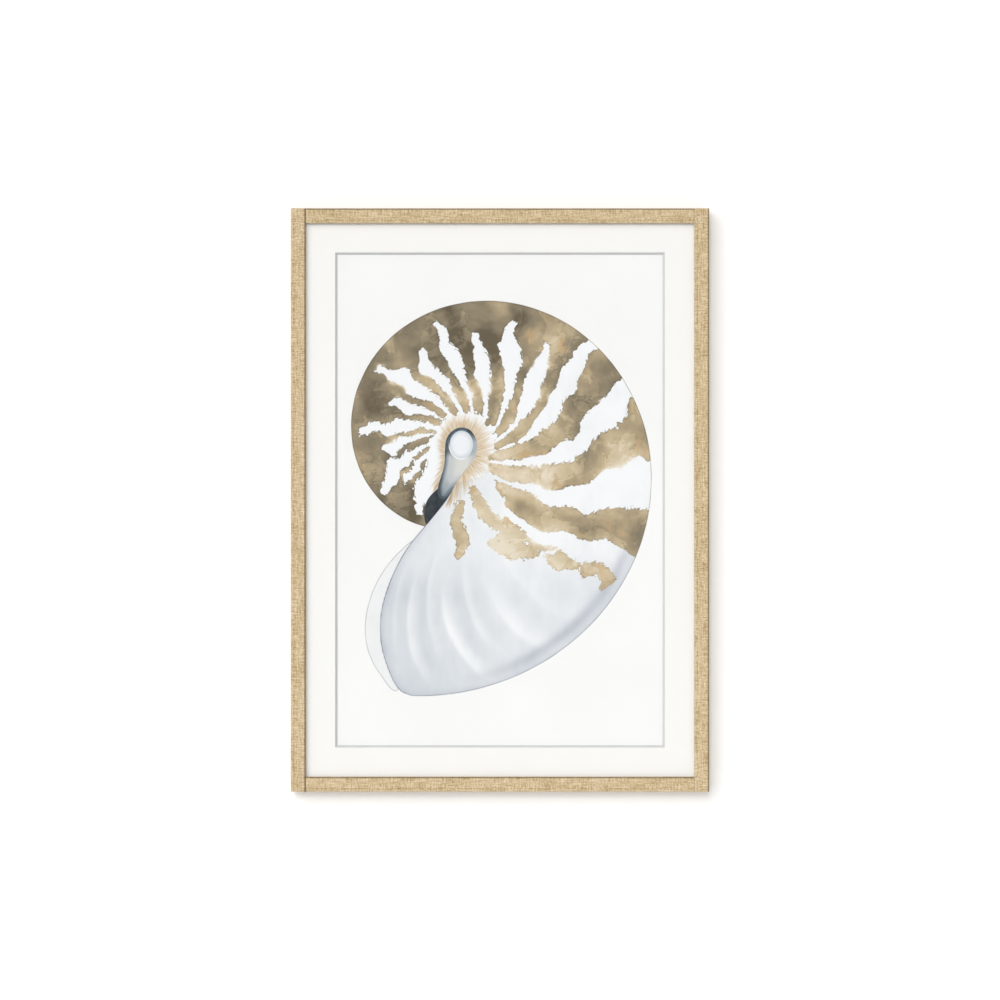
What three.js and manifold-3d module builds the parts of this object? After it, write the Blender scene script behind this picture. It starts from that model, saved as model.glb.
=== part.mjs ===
// Framed shell print for a wall: a butt-jointed, linen-wrapped wood frame, clear glazing,
// an 8-ply window mat, a paper print, a backing board, flexible tabs that hold the stack in
// the rabbet, a sawtooth hanger with two nails, and two felt wall bumpers.
//
// Units are millimetres, +Z is up and the picture faces -Y. The origin is the point where the
// wall nail bears: the apex of the hanger's middle notch, in the plane of the wall (y = 0).
// The frame hangs down from there, symmetric about x = 0.
import * as THREE from "three";
import { mergeVertices } from "three/addons/utils/BufferGeometryUtils.js";
import Module from "manifold-3d";

const wasm = await Module();
wasm.setup();

// ---- driving dimensions -------------------------------------------------------------
const SIGHT_W = 598; // clear width between the side lips
const SIGHT_H = 852; // clear height between the top and bottom lips
const FACE = 23; // width of the moulding's flat face
const DEPTH = 30; // depth of the moulding, front to back
const LIP_T = 5; // thickness of the lip in front of the glazing
const RABBET = 6; // how far the lip covers the package
const EDGE_R = 1.1; // eased front edges of the moulding
const JOINT_GAP = 0.3; // glue line at the four butt joints

const STANDOFF = 3; // gap between the frame's back and the wall, set by the bumpers
const PACK_CLEAR = 0.5; // clearance round the package in the rabbet
const LAYER_GAP = 0.3; // air between two layers of the package
const SEAT_GAP = 0.3; // between the hardware and what it is fixed to
const GLAZE_T = 2;
const MAT_T = 3.2; // 8-ply board
const WINDOW_W = 508; // mat window at its front face
const WINDOW_H = 763;
const PRINT_W = 559;
const PRINT_H = 813;
const PRINT_T = 0.5;
const BACK_T = 3;

const TAB_W = 12; // flexible tabs
const TAB_T = 0.5;
const TAB_OUT = 12; // how far a tab reaches over the backing board
const TAB_IN = 8; // how far it sits in the moulding
const SLOT_CLEAR = 0.3;
const STILE_TABS = [-300, 0, 300];
const RAIL_TABS = [-150, 150];

const HANGER_L = 70; // sawtooth hanger
const HANGER_H = 10;
const HANGER_T = 1;
const HANGER_EAR = 9; // flat ear at each end
const HANGER_RISE = 1.5; // how far the toothed middle stands off the ears
const TOOTH_PITCH = 5;
const TOOTH_DEPTH = 2;
const TEETH = 9;
const HANGER_TO_TOP = 3.5; // hanger's upper edge below the frame's top edge
const NAIL_R = 0.7;
const NAIL_HEAD_R = 2.1;
const NAIL_HEAD_T = 1;
const NAIL_L = 11;

const BUMPER_R = 6;

// ---- derived positions ---------------------------------------------------------------
const FRAME_W = SIGHT_W + 2 * FACE;
const FRAME_H = SIGHT_H + 2 * FACE;
const BODY = FACE - RABBET; // width of the moulding behind the lip
const BACK_Y = -STANDOFF; // back plane of the moulding
const FRONT_Y = BACK_Y - DEPTH; // front plane of the moulding
// The middle notch's apex is z = 0, so the hanger runs from -TOOTH_DEPTH up to HANGER_H - TOOTH_DEPTH.
const TOP_Z = HANGER_H - TOOTH_DEPTH + HANGER_TO_TOP;
const MID_Z = TOP_Z - FRAME_H / 2;
const BOARD_W = SIGHT_W + 2 * RABBET - 2 * PACK_CLEAR;
const BOARD_H = SIGHT_H + 2 * RABBET - 2 * PACK_CLEAR;

// ---- helpers ---------------------------------------------------------------------------
function toSolid(geometry) {
  let g = geometry.index ? geometry.toNonIndexed() : geometry.clone();
  const bare = new THREE.BufferGeometry().setAttribute(
    "position",
    g.getAttribute("position"),
  );
  const merged = mergeVertices(bare, 1e-4);
  return new wasm.Manifold(
    new wasm.Mesh({
      numProp: 3,
      vertProperties: new Float32Array(merged.attributes.position.array),
      triVerts: new Uint32Array(merged.index.array),
    }),
  );
}

function toGeometry(solid) {
  const m = solid.getMesh();
  const n = m.numProp;
  const positions = new Float32Array(m.numVert * 3);
  for (let i = 0; i < m.numVert; i++)
    positions.set(m.vertProperties.subarray(i * n, i * n + 3), i * 3);
  const g = new THREE.BufferGeometry();
  g.setAttribute("position", new THREE.BufferAttribute(positions, 3));
  g.setIndex(new THREE.BufferAttribute(new Uint32Array(m.triVerts), 1));
  const flat = g.toNonIndexed();
  flat.computeVertexNormals();
  return flat;
}

// A box given by its lowest and highest corner.
function block(lo, hi) {
  const g = new THREE.BoxGeometry(hi[0] - lo[0], hi[1] - lo[1], hi[2] - lo[2]);
  g.translate((lo[0] + hi[0]) / 2, (lo[1] + hi[1]) / 2, (lo[2] + hi[2]) / 2);
  return g;
}

function material(color, roughness, metalness = 0, extra = {}) {
  return new THREE.MeshStandardMaterial({
    color,
    roughness,
    metalness,
    ...extra,
  });
}

const linen = material(0xd1ba93, 0.8);
const acrylic = material(0xf4f8f8, 0.05, 0, {
  transparent: true,
  opacity: 0.12,
});
const matPaper = material(0xfaf9f5, 0.9);
const artPaper = material(0xf6f5f3, 0.9);
const hardboard = material(0x8a6a48, 0.8);
const zincSteel = material(0xb9bbbd, 0.35, 1);
const felt = material(0x8d8a84, 0.95);

function piece(name, geometry, mat, parent, position = [0, 0, 0], turnY = 0) {
  const mesh = new THREE.Mesh(geometry, mat);
  mesh.name = name;
  mesh.position.set(...position);
  mesh.rotation.y = turnY;
  parent.add(mesh);
  return mesh;
}

// ---- moulding --------------------------------------------------------------------------
// Section: x = 0 at the sight edge and FACE at the outer edge, y = 0 at the front and DEPTH at
// the back. An L with a thin lip in front of the rabbet, and both front edges eased.
function section() {
  const s = new THREE.Shape();
  s.moveTo(EDGE_R, 0);
  s.lineTo(FACE - EDGE_R, 0);
  s.absarc(FACE - EDGE_R, EDGE_R, EDGE_R, -Math.PI / 2, 0, false);
  s.lineTo(FACE, DEPTH);
  s.lineTo(RABBET, DEPTH);
  s.lineTo(RABBET, LIP_T);
  s.lineTo(0, LIP_T);
  s.lineTo(0, EDGE_R);
  s.absarc(EDGE_R, EDGE_R, EDGE_R, Math.PI, 1.5 * Math.PI, false);
  return s;
}

// Tab's mid-plane, as a depth behind the moulding's front.
const TAB_Y =
  LIP_T + GLAZE_T + MAT_T + PRINT_T + BACK_T + 5 * LAYER_GAP + TAB_T / 2;

function moulding(length, tabs, coped) {
  const g = new THREE.ExtrudeGeometry(section(), {
    depth: length,
    bevelEnabled: false,
    curveSegments: 4,
  });
  g.translate(0, 0, -length / 2);
  let solid = toSolid(g);
  for (const z of tabs) {
    solid = solid.subtract(
      toSolid(
        block(
          [RABBET - 1, TAB_Y - TAB_T / 2 - SLOT_CLEAR, z - TAB_W / 2 - SLOT_CLEAR],
          [
            RABBET + TAB_IN + SLOT_CLEAR,
            TAB_Y + TAB_T / 2 + SLOT_CLEAR,
            z + TAB_W / 2 + SLOT_CLEAR,
          ],
        ),
      ),
    );
  }
  if (coped)
    // The stiles' lips run past the rails, so each end of a rail keeps only a tongue behind them.
    for (const side of [-1, 1]) {
      const a = (side * SIGHT_W) / 2 - side * JOINT_GAP;
      const b = side * (length / 2 + 5);
      solid = solid.subtract(
        toSolid(
          block(
            [-1, -1, Math.min(a, b)],
            [FACE + 1, LIP_T + JOINT_GAP, Math.max(a, b)],
          ),
        ),
      );
      // Below the tongue the rail's lip would foul the stile's rabbet wall.
      solid = solid.subtract(
        toSolid(block([-1, -1, Math.min(a, b)], [RABBET, DEPTH + 1, Math.max(a, b)])),
      );
    }
  return solid;
}

const stileSolid = moulding(FRAME_H, STILE_TABS, false);
const railLength = SIGHT_W + 2 * RABBET - 2 * JOINT_GAP;
const railSolid = moulding(railLength, RAIL_TABS, true);

// The top rail also has the two nail holes of the hanger. In the rail's own frame its back is
// y = DEPTH, and x runs from the sight edge up to the outer edge.
const EAR_X = HANGER_L / 2 - HANGER_EAR / 2; // nail's distance from the hanger's middle
const NAIL_Z = -TOOTH_DEPTH + HANGER_H / 2;
const nailRow = NAIL_Z - (MID_Z + SIGHT_H / 2); // above the sight edge
let topRailSolid = railSolid;
for (const side of [-1, 1]) {
  const hole = new THREE.CylinderGeometry(NAIL_R + 0.3, NAIL_R + 0.3, NAIL_L + 2, 16);
  // a cylinder stands along y, which is the depth direction
  hole.translate(nailRow, DEPTH - (NAIL_L + 2) / 2 + 1, side * EAR_X);
  topRailSolid = topRailSolid.subtract(toSolid(hole));
}

const picture = new THREE.Group();
const frame = new THREE.Group();
frame.position.set(0, FRONT_Y, MID_Z);
picture.add(frame);

piece("frame_stile_right", toGeometry(stileSolid), linen, frame, [SIGHT_W / 2, 0, 0], 0);
piece("frame_stile_left", toGeometry(stileSolid), linen, frame, [-SIGHT_W / 2, 0, 0], Math.PI);
piece("frame_rail_top", toGeometry(topRailSolid), linen, frame, [0, 0, SIGHT_H / 2], -Math.PI / 2);
piece("frame_rail_bottom", toGeometry(railSolid), linen, frame, [0, 0, -SIGHT_H / 2], Math.PI / 2);

// ---- package in the rabbet -------------------------------------------------------------
const pack = new THREE.Group();
pack.position.set(0, FRONT_Y + LIP_T + LAYER_GAP, MID_Z);
picture.add(pack);

piece(
  "glazing_sheet",
  new THREE.BoxGeometry(BOARD_W, GLAZE_T, BOARD_H),
  acrylic,
  pack,
  [0, GLAZE_T / 2, 0],
);

// The mat's window is cut at 45 degrees, wider at the front than at the back.
function matBoard() {
  const board = toSolid(new THREE.BoxGeometry(BOARD_W, MAT_T, BOARD_H));
  const over = 1;
  const grow = (y) => -(y + MAT_T / 2); // inwards by 1 mm for each mm of depth
  const corners = (y) => {
    const w = WINDOW_W / 2 + grow(y);
    const h = WINDOW_H / 2 + grow(y);
    return [
      [-w, y, -h],
      [w, y, -h],
      [w, y, h],
      [-w, y, h],
    ];
  };
  const v = [...corners(-MAT_T / 2 - over), ...corners(MAT_T / 2 + over)];
  const faces = [
    [0, 1, 2],
    [0, 2, 3],
    [4, 6, 5],
    [4, 7, 6],
    [0, 5, 1],
    [0, 4, 5],
    [1, 6, 2],
    [1, 5, 6],
    [2, 7, 3],
    [2, 6, 7],
    [3, 4, 0],
    [3, 7, 4],
  ];
  const cutter = new THREE.BufferGeometry();
  cutter.setAttribute(
    "position",
    new THREE.BufferAttribute(new Float32Array(v.flat()), 3),
  );
  cutter.setIndex(faces.flat());
  return toGeometry(board.subtract(toSolid(cutter)));
}
let y = GLAZE_T + LAYER_GAP;
piece("mat_board", matBoard(), matPaper, pack, [0, y + MAT_T / 2, 0]);
y += MAT_T + LAYER_GAP;
piece(
  "print_sheet",
  new THREE.BoxGeometry(PRINT_W, PRINT_T, PRINT_H),
  artPaper,
  pack,
  [0, y + PRINT_T / 2, 0],
);
y += PRINT_T + LAYER_GAP;
piece(
  "backing_board",
  new THREE.BoxGeometry(BOARD_W, BACK_T, BOARD_H),
  hardboard,
  pack,
  [0, y + BACK_T / 2, 0],
);

// ---- flexible tabs ----------------------------------------------------------------------
// A thin strip with a blunt point in the moulding and a rounded nose over the board. In its own
// frame it lies in the x-z plane, x = 0 at the rabbet wall and -x over the board.
function tab() {
  const h = TAB_W / 2;
  const s = new THREE.Shape();
  s.moveTo(TAB_IN, 2.2);
  s.lineTo(TAB_IN - 2.5, h);
  s.lineTo(-TAB_OUT + h, h);
  s.absarc(-TAB_OUT + h, 0, h, Math.PI / 2, 1.5 * Math.PI, false);
  s.lineTo(TAB_IN - 2.5, -h);
  s.lineTo(TAB_IN, -2.2);
  const g = new THREE.ExtrudeGeometry(s, {
    depth: TAB_T,
    bevelEnabled: false,
    curveSegments: 8,
  });
  g.translate(0, 0, -TAB_T / 2);
  g.rotateX(Math.PI / 2); // thickness along y
  return g;
}
const tabs = new THREE.Group();
tabs.position.set(0, FRONT_Y + TAB_Y, MID_Z);
picture.add(tabs);
const wallX = SIGHT_W / 2 + RABBET;
const wallZ = SIGHT_H / 2 + RABBET;
const level = ["lower", "middle", "upper"];
STILE_TABS.forEach((z, i) => {
  piece(`tab_right_${level[i]}`, tab(), zincSteel, tabs, [wallX, 0, z], 0);
  piece(`tab_left_${level[i]}`, tab(), zincSteel, tabs, [-wallX, 0, z], Math.PI);
});
RAIL_TABS.forEach((x, i) => {
  const side = i === 0 ? "left" : "right";
  piece(`tab_top_${side}`, tab(), zincSteel, tabs, [x, 0, wallZ], -Math.PI / 2);
  piece(`tab_bottom_${side}`, tab(), zincSteel, tabs, [x, 0, -wallZ], Math.PI / 2);
});

// ---- sawtooth hanger ----------------------------------------------------------------------
// A strip with a flat ear at each end and a raised middle, notched along its lower edge.
function hanger() {
  const half = HANGER_L / 2;
  const inner = half - HANGER_EAR;
  const ramp = 3;
  const t = HANGER_T;
  const r = HANGER_RISE;
  const s = new THREE.Shape();
  s.moveTo(-half, 0);
  s.lineTo(-inner, 0);
  s.lineTo(-inner + ramp, r);
  s.lineTo(inner - ramp, r);
  s.lineTo(inner, 0);
  s.lineTo(half, 0);
  s.lineTo(half, t);
  s.lineTo(inner + 0.4, t);
  s.lineTo(inner - ramp + 0.4, r + t);
  s.lineTo(-inner + ramp - 0.4, r + t);
  s.lineTo(-inner - 0.4, t);
  s.lineTo(-half, t);
  const strip = new THREE.ExtrudeGeometry(s, {
    depth: HANGER_H,
    bevelEnabled: false,
  });
  strip.translate(0, 0, -TOOTH_DEPTH);
  let solid = toSolid(strip);
  for (let i = 0; i < TEETH; i++) {
    const x = (i - (TEETH - 1) / 2) * TOOTH_PITCH;
    const notch = new THREE.Shape();
    const w = TOOTH_PITCH * 0.46;
    notch.moveTo(x - w * 1.25, -TOOTH_DEPTH * 1.25);
    notch.lineTo(x + w * 1.25, -TOOTH_DEPTH * 1.25);
    notch.lineTo(x, 0);
    const cut = new THREE.ExtrudeGeometry(notch, {
      depth: 12,
      bevelEnabled: false,
    });
    cut.rotateX(Math.PI / 2); // x stays, shape's y becomes z, depth runs along -y
    cut.translate(0, 8, 0);
    solid = solid.subtract(toSolid(cut));
  }
  for (const side of [-1, 1]) {
    const hole = new THREE.CylinderGeometry(NAIL_R + 0.3, NAIL_R + 0.3, 8, 16);
    hole.translate(side * EAR_X, 0, NAIL_Z);
    solid = solid.subtract(toSolid(hole));
  }
  return toGeometry(solid);
}
const hardware = new THREE.Group();
hardware.position.set(0, BACK_Y, 0);
picture.add(hardware);
piece("sawtooth_hanger", hanger(), zincSteel, hardware, [0, SEAT_GAP, 0]);

// A nail on its own axis: shank down -y from the ear, and a low domed head.
function nail() {
  const profile = [
    new THREE.Vector2(0, -NAIL_L),
    new THREE.Vector2(NAIL_R * 0.35, -NAIL_L + 0.6),
    new THREE.Vector2(NAIL_R, -NAIL_L + 2),
    new THREE.Vector2(NAIL_R, 0),
    new THREE.Vector2(NAIL_HEAD_R, 0),
    new THREE.Vector2(NAIL_HEAD_R, NAIL_HEAD_T * 0.35),
    new THREE.Vector2(NAIL_HEAD_R * 0.75, NAIL_HEAD_T * 0.8),
    new THREE.Vector2(0, NAIL_HEAD_T),
  ];
  return new THREE.LatheGeometry(profile, 16);
}
const seat = SEAT_GAP + HANGER_T + SEAT_GAP;
piece("hanger_nail_left", nail(), zincSteel, hardware, [-EAR_X, seat, NAIL_Z]);
piece("hanger_nail_right", nail(), zincSteel, hardware, [EAR_X, seat, NAIL_Z]);

// ---- wall bumpers ---------------------------------------------------------------------------
function bumper() {
  const e = 0.5; // eased edge
  const shape = new THREE.Shape();
  for (let i = 0; i < 32; i++) {
    const a = (i / 32) * 2 * Math.PI;
    const x = (BUMPER_R - e) * Math.cos(a);
    const y = (BUMPER_R - e) * Math.sin(a);
    if (i) shape.lineTo(x, y);
    else shape.moveTo(x, y);
  }
  const disc = new THREE.ExtrudeGeometry(shape, {
    depth: STANDOFF - SEAT_GAP - 2 * e,
    bevelEnabled: true,
    bevelThickness: e,
    bevelSize: e,
    bevelSegments: 1,
  });
  disc.translate(0, 0, e);
  disc.rotateX(-Math.PI / 2); // thickness along y
  return disc;
}
const bumperX = SIGHT_W / 2 + RABBET + BODY / 2;
const bumperZ = TOP_Z - FRAME_H + 20;
piece("wall_bumper_left", bumper(), felt, hardware, [-bumperX, SEAT_GAP, bumperZ]);
piece("wall_bumper_right", bumper(), felt, hardware, [bumperX, SEAT_GAP, bumperZ]);

export default picture;
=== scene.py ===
"""Framed shell watercolour on a wall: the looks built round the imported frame. All lengths here are millimetres until a mesh is made, and metres after that."""

import math

import bmesh
import bpy
import numpy as np
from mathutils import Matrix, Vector


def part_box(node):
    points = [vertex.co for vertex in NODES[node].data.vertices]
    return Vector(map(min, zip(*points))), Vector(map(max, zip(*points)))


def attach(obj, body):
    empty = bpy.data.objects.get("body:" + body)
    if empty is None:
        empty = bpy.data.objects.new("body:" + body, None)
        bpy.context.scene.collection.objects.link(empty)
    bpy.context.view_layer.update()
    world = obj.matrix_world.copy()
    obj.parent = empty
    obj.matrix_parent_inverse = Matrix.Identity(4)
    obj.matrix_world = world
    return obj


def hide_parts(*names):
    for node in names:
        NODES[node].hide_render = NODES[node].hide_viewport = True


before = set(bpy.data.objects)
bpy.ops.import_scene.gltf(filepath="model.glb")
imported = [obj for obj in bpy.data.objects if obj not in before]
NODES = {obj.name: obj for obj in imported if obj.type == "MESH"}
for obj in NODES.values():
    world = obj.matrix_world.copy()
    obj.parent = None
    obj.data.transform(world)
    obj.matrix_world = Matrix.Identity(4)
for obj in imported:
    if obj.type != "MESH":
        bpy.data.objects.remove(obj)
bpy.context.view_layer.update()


def box_mm(node):
    lo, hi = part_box(node)
    return np.array(lo) * 1000, np.array(hi) * 1000


# ------------------------------------------------------------------------------------------
# Places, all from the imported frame
# ------------------------------------------------------------------------------------------
STILE_LO, STILE_HI = box_mm("frame_stile_left")
RSTILE_LO, RSTILE_HI = box_mm("frame_stile_right")
TOP_LO, TOP_HI = box_mm("frame_rail_top")
BOT_LO, BOT_HI = box_mm("frame_rail_bottom")
MAT_LO, MAT_HI = box_mm("mat_board")
PRINT_LO, PRINT_HI = box_mm("print_sheet")
FRONT_Y, BACK_Y = STILE_LO[1], STILE_HI[1]
FACE = STILE_HI[0] - STILE_LO[0]
DEPTH = BACK_Y - FRONT_Y
MID_Z = (STILE_LO[2] + STILE_HI[2]) / 2
SIGHT_X = RSTILE_LO[0]  # half the clear width
SIGHT_Z = (TOP_LO[2] - BOT_HI[2]) / 2  # half the clear height
LIP_T, RABBET = 5.0, 6.0
WIN_W, WIN_H = 508.0, 763.0


# ------------------------------------------------------------------------------------------
# Small node-graph language
# ------------------------------------------------------------------------------------------
LIT = 1.151  # how much brighter than its own colour a surface facing the room comes out


def srgb(r, g, b):
    """Linear colour that comes out as this 8-bit sRGB one in the studio light."""
    out = []
    for c in (r, g, b):
        c /= 255
        out.append((c / 12.92 if c <= 0.04045 else ((c + 0.055) / 1.055) ** 2.4) / LIT)
    return tuple(out) + (1.0,)


def ink(r, g, b):
    """The same for a transparent wash, which only multiplies what is under it."""
    return tuple(c * LIT for c in srgb(r, g, b)[:3]) + (1.0,)


class Graph:
    def __init__(self, name):
        self.mat = bpy.data.materials.new(name)
        self.mat.use_nodes = True
        self.t = self.mat.node_tree
        self.t.nodes.clear()
        self.out = self.t.nodes.new("ShaderNodeOutputMaterial")

    def put(self, socket, value):
        if isinstance(value, bpy.types.NodeSocket):
            self.t.links.new(value, socket)
        elif value is not None:
            socket.default_value = value

    def attr(self, name, out="Fac"):
        n = self.t.nodes.new("ShaderNodeAttribute")
        n.attribute_name = name
        return n.outputs[out]

    def math(self, op, a, b=None, c=None, clamp=False):
        n = self.t.nodes.new("ShaderNodeMath")
        n.operation = op
        n.use_clamp = clamp
        for s, v in zip(n.inputs, (a, b, c)):
            self.put(s, v)
        return n.outputs[0]

    def add(self, a, b):
        return self.math("ADD", a, b)

    def sub(self, a, b):
        return self.math("SUBTRACT", a, b)

    def mul(self, a, b):
        return self.math("MULTIPLY", a, b)

    def mx(self, a, b):
        return self.math("MAXIMUM", a, b)

    def mn(self, a, b):
        return self.math("MINIMUM", a, b)

    def neg(self, a):
        return self.math("MULTIPLY", a, -1.0)

    def inv(self, a):
        return self.math("SUBTRACT", 1.0, a)

    def madd(self, a, b, c):
        return self.math("MULTIPLY_ADD", a, b, c)

    def step(self, x, lo, hi, to_lo=0.0, to_hi=1.0, smooth=True):
        """x from lo to hi goes to to_lo to to_hi, clamped and smooth."""
        n = self.t.nodes.new("ShaderNodeMapRange")
        n.interpolation_type = "SMOOTHSTEP" if smooth else "LINEAR"
        n.clamp = True
        for s, v in zip(n.inputs[:5], (x, lo, hi, to_lo, to_hi)):
            self.put(s, v)
        return n.outputs[0]

    def vec(self, op, a, b=None, scale=None):
        n = self.t.nodes.new("ShaderNodeVectorMath")
        n.operation = op
        self.put(n.inputs[0], a)
        if b is not None:
            self.put(n.inputs[1], b)
        if scale is not None:
            self.put(n.inputs["Scale"], scale)
        return n.outputs["Value"] if op in ("LENGTH", "DOT_PRODUCT", "DISTANCE") else n.outputs[0]

    def xyz(self, x=0.0, y=0.0, z=0.0):
        n = self.t.nodes.new("ShaderNodeCombineXYZ")
        for s, v in zip(n.inputs, (x, y, z)):
            self.put(s, v)
        return n.outputs[0]

    def split(self, v):
        n = self.t.nodes.new("ShaderNodeSeparateXYZ")
        self.put(n.inputs[0], v)
        return n.outputs

    def noise(self, v, scale=1.0, detail=2.0, rough=0.5, distort=0.0, colour=False):
        n = self.t.nodes.new("ShaderNodeTexNoise")
        n.noise_dimensions = "3D"
        self.put(n.inputs["Vector"], v)
        n.inputs["Scale"].default_value = scale
        n.inputs["Detail"].default_value = detail
        n.inputs["Roughness"].default_value = rough
        n.inputs["Distortion"].default_value = distort
        return n.outputs["Color" if colour else "Fac"]

    def voronoi(self, v, scale=1.0, feature="F1", out="Distance", rand=1.0):
        n = self.t.nodes.new("ShaderNodeTexVoronoi")
        n.feature = feature
        self.put(n.inputs["Vector"], v)
        n.inputs["Scale"].default_value = scale
        n.inputs["Randomness"].default_value = rand
        return n.outputs[out]

    def mix(self, fac, a, b, blend="MIX"):
        n = self.t.nodes.new("ShaderNodeMix")
        n.data_type = "RGBA"
        n.blend_type = blend
        n.clamp_factor = True
        self.put(n.inputs[0], fac)
        self.put(n.inputs[6], a)
        self.put(n.inputs[7], b)
        return n.outputs[2]

    def ramp(self, x, stops, mode="EASE"):
        n = self.t.nodes.new("ShaderNodeValToRGB")
        n.color_ramp.interpolation = mode
        e = n.color_ramp.elements
        while len(e) < len(stops):
            e.new(0.5)
        for el, (p, c) in zip(e, stops):
            el.position, el.color = p, c
        self.put(n.inputs[0], x)
        return n.outputs[0]

    def bump(self, height, distance, strength=1.0, normal=None):
        n = self.t.nodes.new("ShaderNodeBump")
        n.inputs["Strength"].default_value = strength
        n.inputs["Distance"].default_value = distance
        self.put(n.inputs["Height"], height)
        self.put(n.inputs["Normal"], normal)
        return n.outputs[0]

    def principled(self, **sockets):
        n = self.t.nodes.new("ShaderNodeBsdfPrincipled")
        for k, v in sockets.items():
            self.put(n.inputs[k.replace("_", " ")], v)
        self.t.links.new(n.outputs[0], self.out.inputs[0])
        return n


def object_mm(g):
    n = g.t.nodes.new("ShaderNodeTexCoord")
    return g.vec("SCALE", n.outputs["Object"], scale=1000.0)


def set_material(ob, *mats):
    ob.data.materials.clear()
    for m in mats:
        ob.data.materials.append(m)


def new_mesh(name, verts_mm, faces, floats=None, vectors=None, material=None, material_index=None):
    me = bpy.data.meshes.new(name)
    me.from_pydata((np.asarray(verts_mm, float) / 1000).tolist(), [], faces)
    for k, v in (floats or {}).items():
        me.attributes.new(k, "FLOAT", "POINT").data.foreach_set("value", np.asarray(v, np.float32).ravel())
    for k, v in (vectors or {}).items():
        me.attributes.new(k, "FLOAT_VECTOR", "POINT").data.foreach_set("vector", np.asarray(v, np.float32).ravel())
    if material_index is not None:
        me.polygons.foreach_set("material_index", material_index)
    ob = bpy.data.objects.new(name, me)
    bpy.context.scene.collection.objects.link(ob)
    if material:
        for m in material if isinstance(material, (list, tuple)) else [material]:
            me.materials.append(m)
    me.update()
    return ob


def outward(ob):
    bm = bmesh.new()
    bm.from_mesh(ob.data)
    bmesh.ops.recalc_face_normals(bm, faces=bm.faces)
    bm.to_mesh(ob.data)
    bm.free()
    ob.data.update()


# ------------------------------------------------------------------------------------------
# Camera: square on to the picture, as in the photograph
# ------------------------------------------------------------------------------------------
cam_data = bpy.data.cameras.new("camera")
cam_data.sensor_width = 36.0
cam_data.lens = 110.0
cam = bpy.data.objects.new("camera", cam_data)
bpy.context.scene.collection.objects.link(cam)
PX_MM = 1.539  # one pixel of a 1000 pixel picture, at the frame's front
cam_dist = PX_MM * cam_data.lens / cam_data.sensor_width  # metres, for 1000 pixels
cam.location = (0.0, FRONT_Y / 1000 - cam_dist, MID_Z / 1000)
cam.rotation_euler = (math.pi / 2, 0.0, 0.0)
cam_data.clip_start, cam_data.clip_end = 0.1, 60.0
bpy.context.scene.camera = cam


# ------------------------------------------------------------------------------------------
# Linen-wrapped moulding
# ------------------------------------------------------------------------------------------
def section():
    """The moulding's outline as (u, v, nu, nv, run): u from the sight edge outwards, v from the front backwards, the way to shrink it, and the run round it."""
    pts = []

    def line(a, b, n):
        a, b = np.array(a, float), np.array(b, float)
        for i in range(n):
            pts.append(a + (b - a) * i / n)

    def arc(c, r, a0, a1, n):
        for i in range(n):
            a = math.radians(a0 + (a1 - a0) * i / n)
            pts.append(np.array([c[0] + r * math.cos(a), c[1] + r * math.sin(a)]))

    r, q = 1.15, 0.45
    arc((q, LIP_T - q), q, 90, 180, 2)
    line((0, LIP_T - q), (0, r), 2)
    arc((r, r), r, 180, 270, 6)
    line((r, 0), (FACE - r, 0), 10)
    arc((FACE - r, r), r, 270, 360, 6)
    line((FACE, r), (FACE, DEPTH - q), 10)
    arc((FACE - q, DEPTH - q), q, 0, 90, 2)
    line((FACE - q, DEPTH), (RABBET + q, DEPTH), 5)
    arc((RABBET + q, DEPTH - q), q, 90, 180, 2)
    line((RABBET, DEPTH - q), (RABBET, LIP_T), 5)
    line((RABBET, LIP_T), (q, LIP_T), 2)
    p = np.array(pts)
    nxt, prv = np.roll(p, -1, 0), np.roll(p, 1, 0)
    run = np.concatenate([[0], np.cumsum(np.linalg.norm(nxt - p, axis=1))[:-1]])
    t = nxt - prv
    t /= np.linalg.norm(t, axis=1, keepdims=True)
    return p, np.stack([-t[:, 1], t[:, 0]], 1), run


SEC, SEC_IN, SEC_RUN = section()
_area = 0.5 * np.sum(SEC[:, 0] * np.roll(SEC[:, 1], -1) - np.roll(SEC[:, 0], -1) * SEC[:, 1])
if _area < 0:
    SEC_IN = -SEC_IN
SEC_LEN = SEC_RUN[-1] + np.linalg.norm(SEC[0] - SEC[-1])


def smooth_noise(x, period, seed):
    """Smooth 1-D value noise in -1..1."""
    rng = np.random.default_rng(seed)
    table = rng.uniform(-1, 1, 512)
    q = np.asarray(x) / period
    i = np.floor(q).astype(int)
    f = q - i
    f = f * f * (3 - 2 * f)
    return table[i % 512] * (1 - f) + table[(i + 1) % 512] * f


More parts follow.
